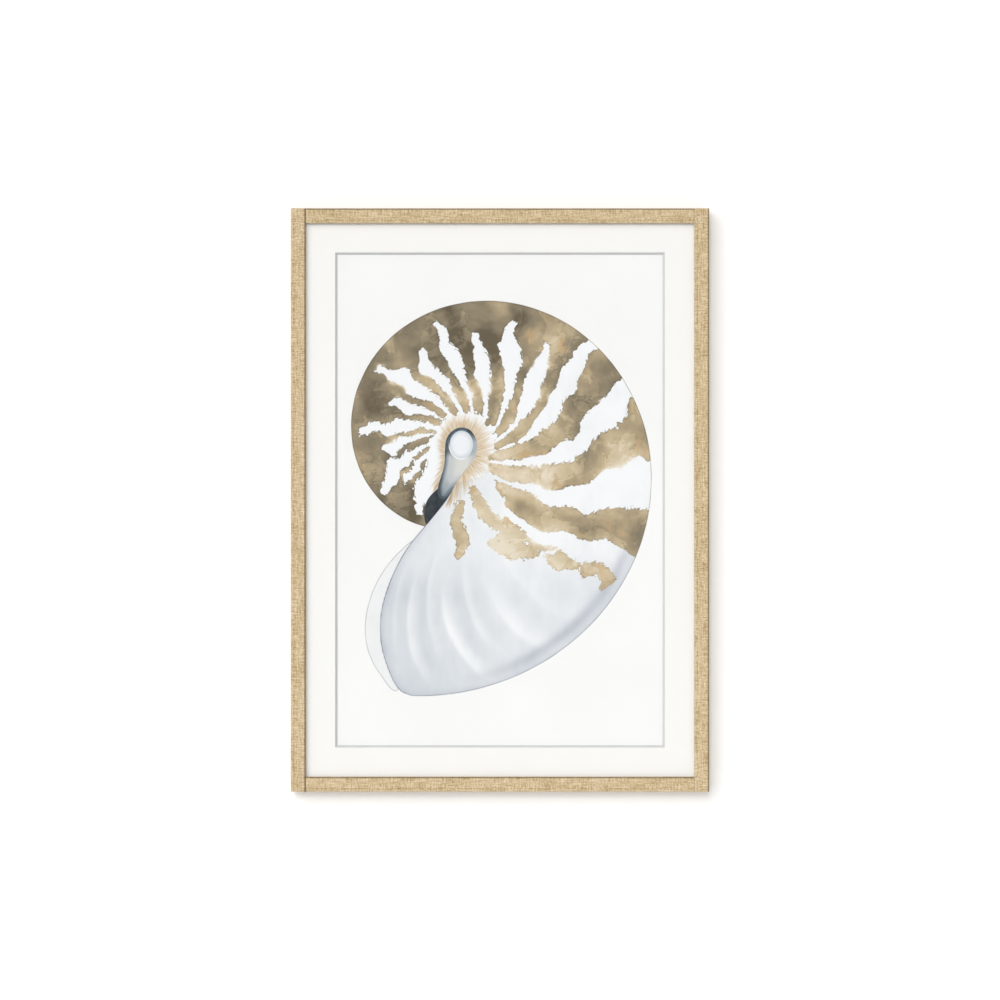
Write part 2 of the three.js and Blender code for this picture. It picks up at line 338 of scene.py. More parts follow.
def moulding(name, node, lo, hi, place, seed, tongue=0.0):
    """A wrapped stick from lo to hi along its length. place(u, v, along) gives the row's point. tongue is how far each end runs on behind the neighbour's lip."""
    stations = []  # (along, shrink, as tongue)
    r = 0.55
    full = hi - lo - 2 * tongue
    a0, a1 = lo + tongue, hi - tongue
    if tongue:
        stations += [(lo, 0.3, True), (lo + 0.3, 0.0, True), (a0, 0.0, True)]
    stations += [(a0, r, False), (a0 + r * 0.3, r * 0.29, False), (a0 + r, 0.0, False)]
    n = int(full / 7)
    stations += [(a0 + full * i / n, 0.0, False) for i in range(1, n)]
    stations += [(a1 - r, 0.0, False), (a1 - r * 0.3, r * 0.29, False), (a1, r, False)]
    if tongue:
        stations += [(a1, 0.0, True), (hi - 0.3, 0.0, True), (hi, 0.3, True)]
    verts, fab = [], []
    m = len(SEC)
    side_run = SEC_RUN[np.argmin(np.abs(SEC[:, 0] - FACE) + SEC[:, 1])] + 4.0

    def end_cap(along):
        """A last ring a hair inside the stick's end, with the weave laid flat across the end."""
        for u, v in SEC + SEC_IN * (r + 0.06):
            verts.append(place(u, v, along))
            fab.append((along + 200.0 + u, side_run + 0.8 * v, seed * 37.0))

    if not tongue:
        end_cap(lo)
    for along, shrink, is_tongue in stations:
        uv = SEC + SEC_IN * shrink
        if is_tongue:
            uv = np.stack([np.maximum(uv[:, 0], RABBET + shrink), np.maximum(uv[:, 1], LIP_T + 0.3)], 1)
        elif shrink == 0.0:
            # cloth is never dead flat: a slight swell and hollow, always inwards
            swell = 0.045 * (1 + smooth_noise(along + SEC_RUN * 0.7, 9.0, seed)) + 0.03 * (
                1 + smooth_noise(along * 0.3 + SEC_RUN * 1.9, 4.0, seed + 1)
            )
            on_cloth = (SEC_RUN < 62).astype(float)
            uv = uv + SEC_IN * (swell * on_cloth)[:, None]
        for (u, v), run in zip(uv, SEC_RUN):
            verts.append(place(u, v, along))
            fab.append((along, run, seed * 37.0))
    if not tongue:
        end_cap(hi)
        stations = [(lo, 0, False)] + stations + [(hi, 0, False)]
    faces = []
    for i in range(len(stations) - 1):
        for j in range(m):
            k = (j + 1) % m
            faces.append((i * m + j, i * m + k, (i + 1) * m + k, (i + 1) * m + j))
    faces.append(tuple(range(m)))
    faces.append(tuple(range((len(stations) - 1) * m, len(stations) * m)))
    ob = new_mesh(name, verts, faces, vectors={"fab": fab})
    # strips of the stick's length, one above the other, so that a bake keeps the threads
    strips = 3
    uv_layer = ob.data.uv_layers.new(name="OFBake")
    s_len = (hi - lo) / strips
    coords = np.zeros((len(ob.data.loops), 2), np.float32)
    for pi, poly in enumerate(ob.data.polygons):
        cap = pi >= len(faces) - 2
        if cap:
            x0 = 0.02 if pi == len(faces) - 2 else 0.06
            for li in poly.loop_indices:
                j = ob.data.loops[li].vertex_index % m
                coords[li] = (x0 + 0.03 * SEC[j][0] / FACE, 0.965 + 0.03 * SEC[j][1] / DEPTH)
            continue
        i, j = divmod(pi, m)
        mid = (stations[i][0] + stations[i + 1][0]) / 2 - lo
        s = min(strips - 1, max(0, int(mid / s_len)))
        ends = (stations[i][0] - lo - s * s_len, stations[i + 1][0] - lo - s * s_len)
        r0 = SEC_RUN[j]
        r1 = SEC_RUN[j + 1] if j + 1 < m else SEC_LEN
        quad = [(ends[0], r0), (ends[0], r1), (ends[1], r1), (ends[1], r0)]
        for li, (a, b) in zip(poly.loop_indices, quad):
            coords[li] = (
                0.015 + 0.97 * np.clip((a + 4) / (s_len + 8), 0, 1),
                (s + 0.01 + 0.97 * b / SEC_LEN) * 0.95 / strips,
            )
    uv_layer.data.foreach_set("uv", coords.ravel())
    bm = bmesh.new()
    bm.from_mesh(ob.data)
    bmesh.ops.remove_doubles(bm, verts=bm.verts, dist=1e-6)
    bmesh.ops.dissolve_degenerate(bm, edges=bm.edges, dist=1e-7)
    bmesh.ops.triangulate(bm, faces=[f for f in bm.faces if len(f.verts) > 4])
    bmesh.ops.recalc_face_normals(bm, faces=bm.faces)
    for f in bm.faces:
        f.smooth = True
    bm.to_mesh(ob.data)
    bm.free()
    for e in ob.data.edges:
        e.use_edge_sharp = False
    with_auto_smooth(ob, 40)
    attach(ob, "root")
    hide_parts(node)
    return ob


def with_auto_smooth(ob, degrees):
    """Marks edges sharper than that, so that smooth faces meet at a crisp edge."""
    bm = bmesh.new()
    bm.from_mesh(ob.data)
    lim = math.radians(degrees)
    for e in bm.edges:
        if len(e.link_faces) == 2:
            e.smooth = e.calc_face_angle(0.0) < lim
    bm.to_mesh(ob.data)
    bm.free()


def linen_material(name, shade_line_high):
    """Woven linen glued round a softwood stick. Reads fab = (along, run round the section, seed). shade_line_high says
    whether the thin dark line of painted shade along one edge of the front face is on its outer side.
    """
    g = Graph(name)
    fab = g.attr("fab", "Vector")
    along, run, seed = g.split(fab)
    # threads wander a little
    wob = g.noise(g.vec("SCALE", fab, scale=0.11), 1.0, 2.0, 0.5, colour=True)
    wx, wy, _ = g.split(wob)
    al = g.madd(g.sub(wx, 0.5), 1.3, along)
    ru = g.madd(g.sub(wy, 0.5), 1.3, run)
    pitch = 1.18
    ca = g.math("COSINE", g.mul(al, math.pi / pitch))
    cr = g.math("COSINE", g.mul(ru, math.pi / pitch))
    sa = g.math("SINE", g.mul(al, math.pi / pitch))
    sr = g.math("SINE", g.mul(ru, math.pi / pitch))
    over = g.mul(ca, cr)  # sign says which thread is on top
    weft = g.math("SQRT", g.math("ABSOLUTE", ca))
    warp = g.math("SQRT", g.math("ABSOLUTE", cr))
    top_warp = g.step(over, -0.22, 0.22)
    thread = g.add(g.mul(warp, top_warp), g.mul(weft, g.inv(top_warp)))
    crown = g.add(
        g.mul(g.math("ABSOLUTE", sa), g.mul(top_warp, 0.25)),
        g.mul(g.math("ABSOLUTE", sr), g.mul(g.inv(top_warp), 0.25)),
    )
    height = g.sub(thread, crown)
    # slubs: long uneven streaks both ways, thick enough to be seen from across a room
    s1 = g.noise(g.xyz(g.mul(along, 0.045), g.mul(run, 0.55), seed), 1.0, 3.0, 0.62)
    s2 = g.noise(g.xyz(g.mul(along, 0.62), g.mul(run, 0.07), g.add(seed, 9.0)), 1.0, 3.0, 0.62)
    s3 = g.noise(g.xyz(g.mul(along, 0.36), g.mul(run, 0.36), g.add(seed, 21.0)), 1.0, 2.0, 0.55)
    blot = g.noise(g.xyz(g.mul(along, 0.018), g.mul(run, 0.05), g.add(seed, 40.0)), 1.0, 2.0, 0.5)
    tone = g.madd(g.sub(s1, 0.5), 1.25, 0.5)
    tone = g.madd(g.sub(s2, 0.5), 1.35, tone)
    tone = g.madd(g.sub(s3, 0.5), 0.9, tone)
    tone = g.madd(g.sub(blot, 0.5), 0.35, tone)
    # the low places between the threads are painted darker: painted shade in the weave
    tone = g.madd(g.sub(height, 0.72), 0.42, tone)
    cloth = g.ramp(
        tone,
        [
            (0.0, srgb(160, 135, 94)),
            (0.28, srgb(192, 167, 124)),
            (0.5, srgb(215, 193, 155)),
            (0.74, srgb(231, 211, 178)),
            (1.0, srgb(246, 233, 207)),
        ],
        "LINEAR",
    )
    # pinkish and greenish threads among the gold
    hue = g.noise(g.xyz(g.mul(along, 0.13), g.mul(run, 0.28), g.add(seed, 77.0)), 1.0, 2.0, 0.6)
    cloth = g.mix(g.step(hue, 0.56, 0.78, 0.0, 0.4), cloth, srgb(217, 184, 150))
    cloth = g.mix(g.step(hue, 0.44, 0.24, 0.0, 0.35), cloth, srgb(196, 184, 138))
    # front face runs from f0 to f1 round the section
    f0 = SEC_RUN[np.argmin(np.abs(SEC[:, 1]) + (SEC[:, 0] > 3) * 99)]
    f1 = f0 + FACE - 2.3
    # painted shade: a thin dark line along one edge of the front face, as if that rounded edge lay in shadow
    shade_line_at, dots_at = (f1 + 0.15, f0 + 3.4) if shade_line_high else (f0 - 0.15, f1 - 3.4)
    d = g.math("ABSOLUTE", g.sub(run, shade_line_at))
    line = g.step(g.madd(g.sub(s2, 0.5), 0.8, d), 1.95, 0.75)
    cloth = g.mix(g.mul(line, 0.72), cloth, srgb(104, 86, 50))
    # a pulled thread that shows as a row of dots
    dd = g.math("ABSOLUTE", g.sub(ru, dots_at))
    beads = g.step(g.noise(g.xyz(g.mul(along, 0.5), 3.3, g.add(seed, 5.0)), 1.0, 1.0, 0.5), 0.4, 0.62)
    dots = g.mul(g.step(dd, 1.25, 0.5), beads)
    cloth = g.mix(g.mul(dots, 0.6), cloth, srgb(152, 122, 64))
    # bare wood on the back and in the rabbet, past a slightly ragged cut edge of cloth
    cloth_end = SEC_RUN[np.argmin(np.abs(SEC[:, 0] - FACE) + np.abs(SEC[:, 1] - DEPTH + 0.45))] + 5.2
    rag = g.noise(g.xyz(g.mul(along, 0.35), g.mul(run, 0.1), g.add(seed, 61.0)), 1.0, 3.0, 0.7)
    edge = g.madd(g.sub(rag, 0.5), 2.6, run)
    wood_mask = g.step(edge, cloth_end - 0.15, cloth_end + 0.15)
    near = g.mul(g.step(edge, cloth_end + 1.4, cloth_end + 0.1), wood_mask)
    grain_v = g.xyz(g.mul(along, 0.012), g.mul(run, 0.42), g.add(seed, 13.0))
    grain = g.noise(grain_v, 1.0, 4.0, 0.6, 0.6)
    rings = g.math("SINE", g.madd(grain, 26.0, g.mul(run, 0.5)))
    pore = g.noise(g.xyz(g.mul(along, 0.16), g.mul(run, 4.2), seed), 1.0, 2.0, 0.6)
    wood = g.ramp(
        g.madd(pore, 0.45, g.madd(rings, 0.16, 0.28)),
        [(0.15, srgb(196, 156, 104)), (0.5, srgb(219, 185, 135)), (0.85, srgb(232, 204, 160))],
        "LINEAR",
    )
    wood = g.mix(g.mul(near, 0.4), wood, srgb(150, 118, 76))
    colour = g.mix(wood_mask, cloth, wood)
    h_cloth = g.add(g.mul(height, 0.6), g.add(g.mul(s1, 0.5), g.mul(s2, 0.5)))
    h_wood = g.mul(pore, 0.35)
    cloth_on = g.inv(wood_mask)
    h = g.add(g.mul(h_cloth, cloth_on), g.add(g.mul(h_wood, wood_mask), g.mul(cloth_on, 0.9)))
    rough = g.madd(cloth_on, 0.2, g.madd(tone, -0.08, 0.68))
    g.principled(
        Base_Color=colour,
        Roughness=rough,
        Normal=g.bump(h, 0.00035, 0.75),
        Specular_IOR_Level=0.3,
        Sheen_Weight=0.12,
        Sheen_Roughness=0.5,
    )
    return g.mat


LINEN_HIGH = linen_material("linen_shade_line_outer", True)
LINEN_LOW = linen_material("linen_shade_line_inner", False)

stile_left = moulding(
    "moulding_left",
    "frame_stile_left",
    STILE_LO[2],
    STILE_HI[2],
    lambda u, v, a: (-SIGHT_X - u, FRONT_Y + v, a),
    3,
)
stile_right = moulding(
    "moulding_right",
    "frame_stile_right",
    RSTILE_LO[2],
    RSTILE_HI[2],
    lambda u, v, a: (SIGHT_X + u, FRONT_Y + v, a),
    11,
)
TONGUE = RABBET
rail_top = moulding(
    "moulding_top",
    "frame_rail_top",
    TOP_LO[0],
    TOP_HI[0],
    lambda u, v, a: (a, FRONT_Y + v, MID_Z + SIGHT_Z + u),
    19,
    tongue=TONGUE,
)
rail_bottom = moulding(
    "moulding_bottom",
    "frame_rail_bottom",
    BOT_LO[0],
    BOT_HI[0],
    lambda u, v, a: (a, FRONT_Y + v, MID_Z - SIGHT_Z - u),
    27,
    tongue=TONGUE,
)
set_material(stile_left, LINEN_LOW)
set_material(stile_right, LINEN_HIGH)
set_material(rail_top, LINEN_HIGH)
set_material(rail_bottom, LINEN_LOW)


# ------------------------------------------------------------------------------------------
# Window mat
# ------------------------------------------------------------------------------------------
def mat_mesh():
    """The board with its bevelled window, as rings from the outer back edge round to the inner back edge."""
    w, h = (MAT_HI[0] - MAT_LO[0]) / 2, (MAT_HI[2] - MAT_LO[2]) / 2
    y0, y1 = MAT_LO[1], MAT_HI[1]
    t = y1 - y0
    rings = [
        (w, h, y1, 0),
        (w, h, y0 + 0.25, 0),
        (w - 0.25, h - 0.25, y0, 0),
        (WIN_W / 2 + 6, WIN_H / 2 + 6, y0, 0),
        (WIN_W / 2 + 0.5, WIN_H / 2 + 0.5, y0, 0),
        (WIN_W / 2 + 0.12, WIN_H / 2 + 0.12, y0 + 0.05, 0),
        (WIN_W / 2 - 0.12, WIN_H / 2 - 0.12, y0 + 0.26, 1),
        (WIN_W / 2 - t * 0.5, WIN_H / 2 - t * 0.5, y0 + t * 0.52, 1),
        (WIN_W / 2 - t + 0.15, WIN_H / 2 - t + 0.15, y1 - 0.12, 1),
        (WIN_W / 2 - t + 0.1, WIN_H / 2 - t + 0.1, y1, 1),
    ]
    n_side = 24
    verts, faces, idx = [], [], []
    per = 4 * n_side
    for rw, rh, y, _ in rings:
        corners = [(-rw, -rh), (rw, -rh), (rw, rh), (-rw, rh)]
        for c in range(4):
            a, b = np.array(corners[c]), np.array(corners[(c + 1) % 4])
            for i in range(n_side):
                p = a + (b - a) * i / n_side
                verts.append((p[0], y, p[1] + MID_Z))
    for k in range(len(rings)):
        kn = (k + 1) % len(rings)
        for i in range(per):
            j = (i + 1) % per
            faces.append((k * per + i, k * per + j, kn * per + j, kn * per + i))
            idx.append(1 if rings[k][3] and kn != 0 or k == 5 else 0)
    return verts, faces, idx


def mat_material():
    g = Graph("mat_paper")
    p = object_mm(g)
    fib = g.noise(g.vec("MULTIPLY", p, (0.9, 0.9, 0.9)), 1.0, 3.0, 0.65)
    tooth = g.noise(p, 0.35, 4.0, 0.6)
    cloud = g.noise(p, 0.012, 2.0, 0.5)
    tone = g.madd(g.sub(fib, 0.5), 0.05, g.madd(g.sub(cloud, 0.5), 0.08, 0.5))
    col = g.ramp(tone, [(0.4, srgb(250, 248, 244)), (0.6, srgb(254, 253, 251))], "LINEAR")
    g.principled(
        Base_Color=col,
        Roughness=g.madd(fib, 0.08, 0.84),
        Normal=g.bump(g.add(tooth, g.mul(fib, 0.5)), 0.00008, 0.5),
        Specular_IOR_Level=0.25,
    )
    return g.mat


def core_material():
    """The bevel shows the board's plies. Its grey is partly the core's own colour and partly painted shade, as if the
    cut lay in shadow.
    """
    g = Graph("mat_core")
    p = object_mm(g)
    _, y, _ = g.split(p)
    depth = g.sub(y, float(MAT_LO[1]))
    ply = g.noise(g.xyz(0.0, g.mul(depth, 2.4), 0.0), 1.0, 1.0, 0.5)
    fib = g.noise(p, 0.8, 3.0, 0.7)
    # the cut is painted darker where it meets the face, and darker where it meets the print as painted shade in that
    # corner
    low = g.step(depth, 2.1, 3.2)
    high = g.step(depth, 0.55, 0.1)
    tone = g.madd(g.sub(ply, 0.5), 0.35, g.madd(g.sub(fib, 0.5), 0.3, 0.55))
    # this grey is partly painted shade
    col = g.ramp(tone, [(0.3, srgb(208, 208, 207)), (0.7, srgb(217, 217, 216))], "LINEAR")
    col = g.mix(g.mul(low, 0.4), col, srgb(188, 188, 188))
    col = g.mix(g.mul(high, 0.35), col, srgb(196, 196, 195))
    g.principled(
        Base_Color=col,
        Roughness=g.madd(fib, 0.08, 0.86),
        Normal=g.bump(g.add(ply, fib), 0.00008, 0.5),
        Specular_IOR_Level=0.2,
    )
    return g.mat


mv, mf, mi = mat_mesh()
mat_piece = new_mesh("window_mat", mv, mf, material=[mat_material(), core_material()], material_index=mi)
outward(mat_piece)
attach(mat_piece, "root")
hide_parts("mat_board")


# ------------------------------------------------------------------------------------------
# The print: a nautilus in side view, built on a textbook spiral
# ------------------------------------------------------------------------------------------
# Millimetres from the middle of the window, x right and z up.
UMB = np.array([-60.0, 84.0])  # the umbilicus, which the shell coils round
GROW = math.log(3.0) / (2 * math.pi)  # each turn is three times as wide as the last
R_180 = 167.0
END = 252.0  # where the coil goes in behind the lip, degrees
TIP = -103.0  # the lip's outer end


def rim(theta):
    """Distance from the umbilicus to the shell's outer edge, theta in degrees."""
    return R_180 * np.exp(-GROW * np.radians(theta - 180.0))


def on_rim(theta):
    a = np.radians(theta)
    return UMB + np.stack([np.cos(a), np.sin(a)], -1) * np.asarray(rim(theta))[..., None]


def curve(points, closed=True, step=1.6):
    """A smooth curve through the points, as a dense polyline."""
    p = np.array(points, float)
    n = len(p)
    out = []
    last = n if closed else n - 1
    for i in range(last):
        if closed:
            a, b, c, d = p[(i - 1) % n], p[i], p[(i + 1) % n], p[(i + 2) % n]
        else:
            a, b, c, d = p[max(i - 1, 0)], p[i], p[i + 1], p[min(i + 2, n - 1)]
        k = max(2, int(np.linalg.norm(c - b) / step))
        t = np.arange(k)[:, None] / k
        out.append(
            0.5
            * (
                2 * b
                + (c - a) * t
                + (2 * a - 5 * b + 4 * c - d) * t**2
                + (-a + 3 * b - 3 * c + d) * t**3
            )
        )
    if not closed:
        out.append(p[-1:])
    return np.concatenate(out)


def dist_to(line, q, closed=True):
    """Distance from each point of q to the polyline, and the place along it in 0..1."""
    a = line if closed else line[:-1]
    b = np.roll(line, -1, 0) if closed else line[1:]
    best = np.full(len(q), 1e9)
    where = np.zeros(len(q))
    ab = b - a
    len2 = np.maximum((ab * ab).sum(1), 1e-12)
    for lo in range(0, len(q), 4000):
        s = q[lo : lo + 4000]
        px = s[:, 0][:, None] - a[:, 0][None]
        pz = s[:, 1][:, None] - a[:, 1][None]
        t = np.clip((px * ab[:, 0] + pz * ab[:, 1]) / len2, 0, 1)
        d = (px - t * ab[:, 0]) ** 2 + (pz - t * ab[:, 1]) ** 2
        i = d.argmin(1)
        r = np.arange(len(s))
        best[lo : lo + 4000] = np.sqrt(d[r, i])
        where[lo : lo + 4000] = (i + t[r, i]) / len(a)
    return best, where


def inside(poly, q):
    x, y = q[:, 0], q[:, 1]
    odd = np.zeros(len(q), bool)
    x0, y0 = poly[:, 0], poly[:, 1]
    x1, y1 = np.roll(x0, -1), np.roll(y0, -1)
    for a, b, c, d in zip(x0, y0, x1, y1):
        cross = (b > y) != (d > y)
        if not cross.any():
            continue
        odd ^= cross & (x < (c - a) * (y - b) / (d - b + 1e-12) + a)
    return odd


def signed(poly, q):
    """Distance to the closed outline, positive inside."""
    d, _ = dist_to(poly, q)
    return np.where(inside(poly, q), d, -d)


# outlines
coil = np.concatenate([on_rim(np.linspace(-46, END + 8, 230)), [[-60, -20], [-10, -20], [110, -70]]])
# the lip: from the umbilicus it bows forward, then comes back to meet the outer edge
LIP_BOW = [(0.0, 0.0), (0.08, 0.02), (0.2, 0.075), (0.34, 0.142), (0.5, 0.182), (0.66, 0.188), (0.8, 0.152), (0.91, 0.088), (0.97, 0.036), (1.0, -0.012)]
_root = UMB + np.array([-9.0, -58.0])
_tip = on_rim(TIP)
_chord = _tip - _root
_out = np.array([_chord[1], -_chord[0]])
_out = _out if _out[0] < 0 else -_out
lip_points = [_root + _chord * a + _out * b for a, b in LIP_BOW]
lip = curve(lip_points, closed=False)


def rounded(path, at, reach):
    """The path with its corner at that index rounded off over the reach."""
    run = np.concatenate([[0], np.cumsum(np.linalg.norm(np.diff(path, axis=0), axis=1))])
    seg = np.gradient(run)
    out = path.copy()
    for i in np.nonzero(np.abs(run - run[at]) < reach)[0]:
        width = 0.42 * (reach - abs(run[i] - run[at])) + 0.8
        w = seg * np.exp(-(((run - run[i]) / width) ** 2))
        out[i] = (path * w[:, None]).sum(0) / w.sum()
    return out


_edge = rounded(np.concatenate([lip, on_rim(np.linspace(TIP + 1.0, 46, 190))]), len(lip) - 1, 40.0)
lip = _edge[: len(lip)]
body = np.concatenate([_edge, [[60, 90], [0, 60], [-30, 36]]])
flap = curve(
    [_root + _chord * a + _out * b for a, b in ((0.3, 0.12), (0.42, 0.203), (0.56, 0.247), (0.7, 0.25), (0.82, 0.214), (0.92, 0.136), (0.97, 0.03), (0.6, 0.1), (0.4, 0.1))]
)


def about(points):
    return [(UMB[0] + x, UMB[1] + z) for x, z in points]


neck = curve(about([
    (0, 28), (15, 23), (24, 7), (23, -13), (13, -30), (0, -47), (-13, -67), (-24, -82), (-34, -80), (-36, -66), (-31, -48), (-26, -30),
    (-25, -10), (-23, 9), (-14, 22),
]))
plug_t = np.linspace(0, 2 * np.pi, 90, endpoint=False)
plug = UMB + np.array([0.5, 1.5]) + np.stack([18.0 * np.cos(plug_t), 21.5 * np.sin(plug_t)], 1)
shadow = curve(about([(-14, -66), (-24, -92), (-44, -124), (-54, -121), (-57, -104), (-52, -84), (-38, -68), (-24, -60)]))


def wrap(theta, lo):
    return (theta - lo) % 360.0 + lo


# White flames between the pigment bands, laid out by rule with a little chance: (phase in degrees, half width in degrees
# at its widest, where it starts and ends as shares of the way to the rim, share at which it is widest).
def lay_flames():
    rng = np.random.default_rng(61)
    out = []
    at, k = 238.0, 0
    while at > -66:
        near = np.clip((at + 66) / 300, 0, 1)  # 1 on the inner coil, 0 by the opening
        long = k % 2 == 0
        half = (6.6 - 2.1 * near) * rng.uniform(0.78, 1.2) * (1.0 if long else 0.82)
        end = (0.88 if long else 0.73) + rng.uniform(-0.05, 0.05)
        if at < 30:
            end += (30 - at) / 96 * 0.9
        widest = rng.uniform(0.5, 0.66) + (0.2 if at < 0 else 0)
        out.append((at, half, rng.uniform(0.27, 0.33), end, min(widest, end - 0.08)))
        at -= (20.5 - 5.4 * near) * rng.uniform(0.9, 1.12)
        k += 1
    return out


FLAMES = lay_flames()


def band_field(q, lo):
    """Distance into the pigment bands, positive in them, with theta taken from lo to lo + 360, and which side of its flame a point is on."""
    d = q - UMB
    r = np.linalg.norm(d, axis=1) + 1e-6
    th = wrap(np.degrees(np.arctan2(d[:, 1], d[:, 0])), lo)
    edge = rim(np.clip(th, -104, END + 6))
    s = r / edge
    sweep = 25.0 + 6.0 * smooth_noise(th + 400, 47, 5)
    phase = th - sweep * np.log(np.maximum(s, 0.12) / 0.32)
    phase = phase + 2.4 * smooth_noise(s * 100 + th * 0.35 + 500, 11.0, 7) * np.clip(s * 2 - 0.3, 0, 1)
    scale = math.pi / 180 * r
    f = np.full(len(q), 60.0)
    side = np.zeros(len(q))
    for k, (ph, hw, s0, s1, sm) in enumerate(FLAMES):
        up = np.clip((s - s0) / (sm - s0), 0, 1)
        down = (s1 - s) / (s1 - sm)
        w = hw * np.where(s < sm, 0.38 + 0.62 * up**0.8, np.minimum(1, 0.25 + 1.1 * down))
        w = w * (1 + 0.34 * smooth_noise(s * 100 + 37 * k + 300, 8.5, 20 + k))
        sway = 1.5 * smooth_noise(s * 100 + 91 * k + 300, 13, 60 + k)
        off = phase - ph - sway
        gap = (np.abs(off) - w) * scale
        tip = (s - s1) * edge * 0.9
        v = np.maximum(gap, tip)
        side = np.where(v < f, np.clip(off / 3.0, -1, 1), side)
        f = np.minimum(f, v)
    return f, th, s, r, phase, side


def capsule(q, pts, radii):
    """Distance into a stroke of changing width through the points, positive inside."""
    line = curve(pts, closed=False, step=4.0)
    d, t = dist_to(line, q, closed=False)
    rad = np.interp(t, np.linspace(0, 1, len(radii)), radii)
    return rad - d


def art_fields(q):
    out = {}
    f_coil = signed(coil, q)
    f_body = signed(body, q)
    out["a_coil"] = f_coil
    out["a_body"] = f_body
    out["a_sil"] = np.maximum(f_coil, f_body)
    out["a_flap"] = signed(flap, q)
    out["a_neck"] = signed(neck, q)
    out["a_plug"] = signed(plug, q)
    out["a_dark"] = signed(shadow, q)

    halo = -out["a_neck"]  # distance out from the callus
    d = q - UMB
    ang = np.degrees(np.arctan2(d[:, 1], d[:, 0]))
    cool = np.clip((-5 - ang) / 35, 0, 1)
    out["a_cool"] = np.where(ang < -62, (f_body > f_coil) * 1.0, np.where(ang > 0, 0.0, cool))
    bands = {}
    for key, lo in (("coil", -60.0), ("body", -180.0)):
        f, th, s, r, phase, side = band_field(q, lo)
        start = 22 + 6 * smooth_noise(phase * 1.0 + 700, 9, 41) + 5 * np.exp(-(((th - 20) / 45.0) ** 2)) + 16 * np.exp(-(((wrap(th + 60, -180)) / 15.0) ** 2))
        f = np.minimum(f, halo - start)
        if key == "body":
            # towards the opening the bands thin out and stop
            stop = -50 + 8 * smooth_noise(r + 300, 30, 44) + 4 * smooth_noise(r + 900, 12, 45)
            stop = stop - 12 * np.exp(-(((r - 150) / 70.0) ** 2)) + 8 * np.clip((r - 215) / 60, 0, 1)
            f = np.minimum(f, (th - stop) * math.pi / 180 * r * 0.8)
        bands[key] = (f, th, s, r, phase, side)
    strokes = [
        capsule(q, about([(-2, -92), (-8, -120), (2, -146), (-4, -170)]), [7, 9, 13, 7]),
        capsule(q, about([(20, -70), (34, -100), (58, -122), (88, -132)]), [7, 11, 10, 6]),
        capsule(q, about([(48, -150), (74, -160), (112, -166)]), [7, 15, 8]),
        capsule(q, about([(136, -172), (150, -182), (166, -178)]), [6, 11, 5]),
    ]
    out["a_band"] = bands["coil"][0]
    out["a_bandb"] = np.maximum(bands["body"][0], np.max(strokes, axis=0))
    out["a_side"] = bands["coil"][5]
    out["a_sideb"] = bands["body"][5]

    # how dark the pigment is: grey-brown at the rim and over the top, tan towards the callus and the opening
    for key, name in (("coil", "a_tone"), ("body", "a_toneb")):
        _, th, s, r, phase, _ = bands[key]
        reach = np.interp(
            th, [-180, -60, -35, -10, 20, 55, 95, 150, 245, 300], [0.05, 0.10, 0.30, 0.44, 0.58, 0.72, 0.76, 0.72, 0.78, 0.78]
        )
        t = np.clip((s - 0.30) / 0.38, 0, 1)
        t = t * t * (3 - 2 * t)
        own = 0.15 * smooth_noise(phase + 900, 8.5, 83) + 0.09 * smooth_noise(s * 100 + phase, 14, 84)
        low = np.interp(th, [-60, 0, 60, 130, 190, 240], [0.22, 0.27, 0.33, 0.34, 0.42, 0.55])
        out[name] = np.clip(low + (reach - low) * t + own, 0.05, 1.1)

    # how far the halo of fine strokes reaches
    out["a_reach"] = np.interp(
        wrap(ang, -180), [-180, -140, -115, -90, -45, 0, 45, 90, 135, 180], [18, 12, 14, 28, 38, 37, 32, 27, 24, 18]
    )
    # cool shading of the opening's side: growth lines follow the lip
    lip_d, _ = dist_to(lip, q, closed=False)
    low_edge = np.maximum(f_body, 0)
    x, z = q[:, 0], q[:, 1]
    base = 0.30 * np.clip(1 - (lip_d / 150) ** 1.2, 0, 1) + 0.43 * np.clip((-z - 40) / 110, 0, 1)
    # each growth line is an older lip: the same curve turned back round the umbilicus and shrunk to match
    rel = lip - UMB
    lip_th = np.degrees(np.arctan2(rel[:, 1], rel[:, 0]))
    lip_th = wrap(lip_th, -270)
    lip_s = np.linalg.norm(rel, axis=1) / rim(lip_th)
    order = np.argsort(lip_s)
    th_q = wrap(ang, -270)
    s_q = np.hypot(d[:, 0], d[:, 1]) / rim(th_q)
    back = th_q - np.interp(s_q, lip_s[order], lip_th[order])  # degrees back from the lip
    rib = np.zeros(len(q))
    for n, (at, amount, width, mid_s) in enumerate((
        (3.6, -0.26, 0.7, 0.66), (8.4, -0.52, 1.1, 0.74), (12.0, 0.16, 1.6, 0.70), (14.6, -0.34, 0.9, 0.62), (20.6, -0.58, 1.5, 0.78),
        (25.5, 0.16, 2.2, 0.72), (29.0, -0.34, 1.3, 0.66), (38.0, -0.40, 2.2, 0.82), (50.0, -0.20, 2.4, 0.70), (31.5, 0.10, 2.4, 0.80),
    )):
        off = back - at - 0.7 * smooth_noise(s_q * 100 + 500, 15, 90 + n)
        off = off / np.where(off < 0, width * 0.55, width * 1.7)
        rib += amount * np.exp(-(off**2)) * np.exp(-(((s_q - mid_s) / (0.17 + 0.02 * (n % 3))) ** 4))
    keel = np.exp(-(((low_edge - 17) / 9.5) ** 2)) * np.clip((x + 70) / 120, 0, 1) * np.clip((-z - 30) / 60, 0, 1)
    edge = np.exp(-((low_edge / 7) ** 2)) * np.clip((-z + 10) / 60, 0, 1)
    out["a_shade"] = np.clip(base + rib * 0.74, 0, 1.3) * (z < 50)
    out["a_keel"] = np.clip(0.75 * keel + 0.35 * edge, 0, 1.2)
    out["a_lip"] = lip_d
    out["a_left"] = np.clip((UMB[0] - 2 - x) / 34, -0.4, 1.2)
    return out


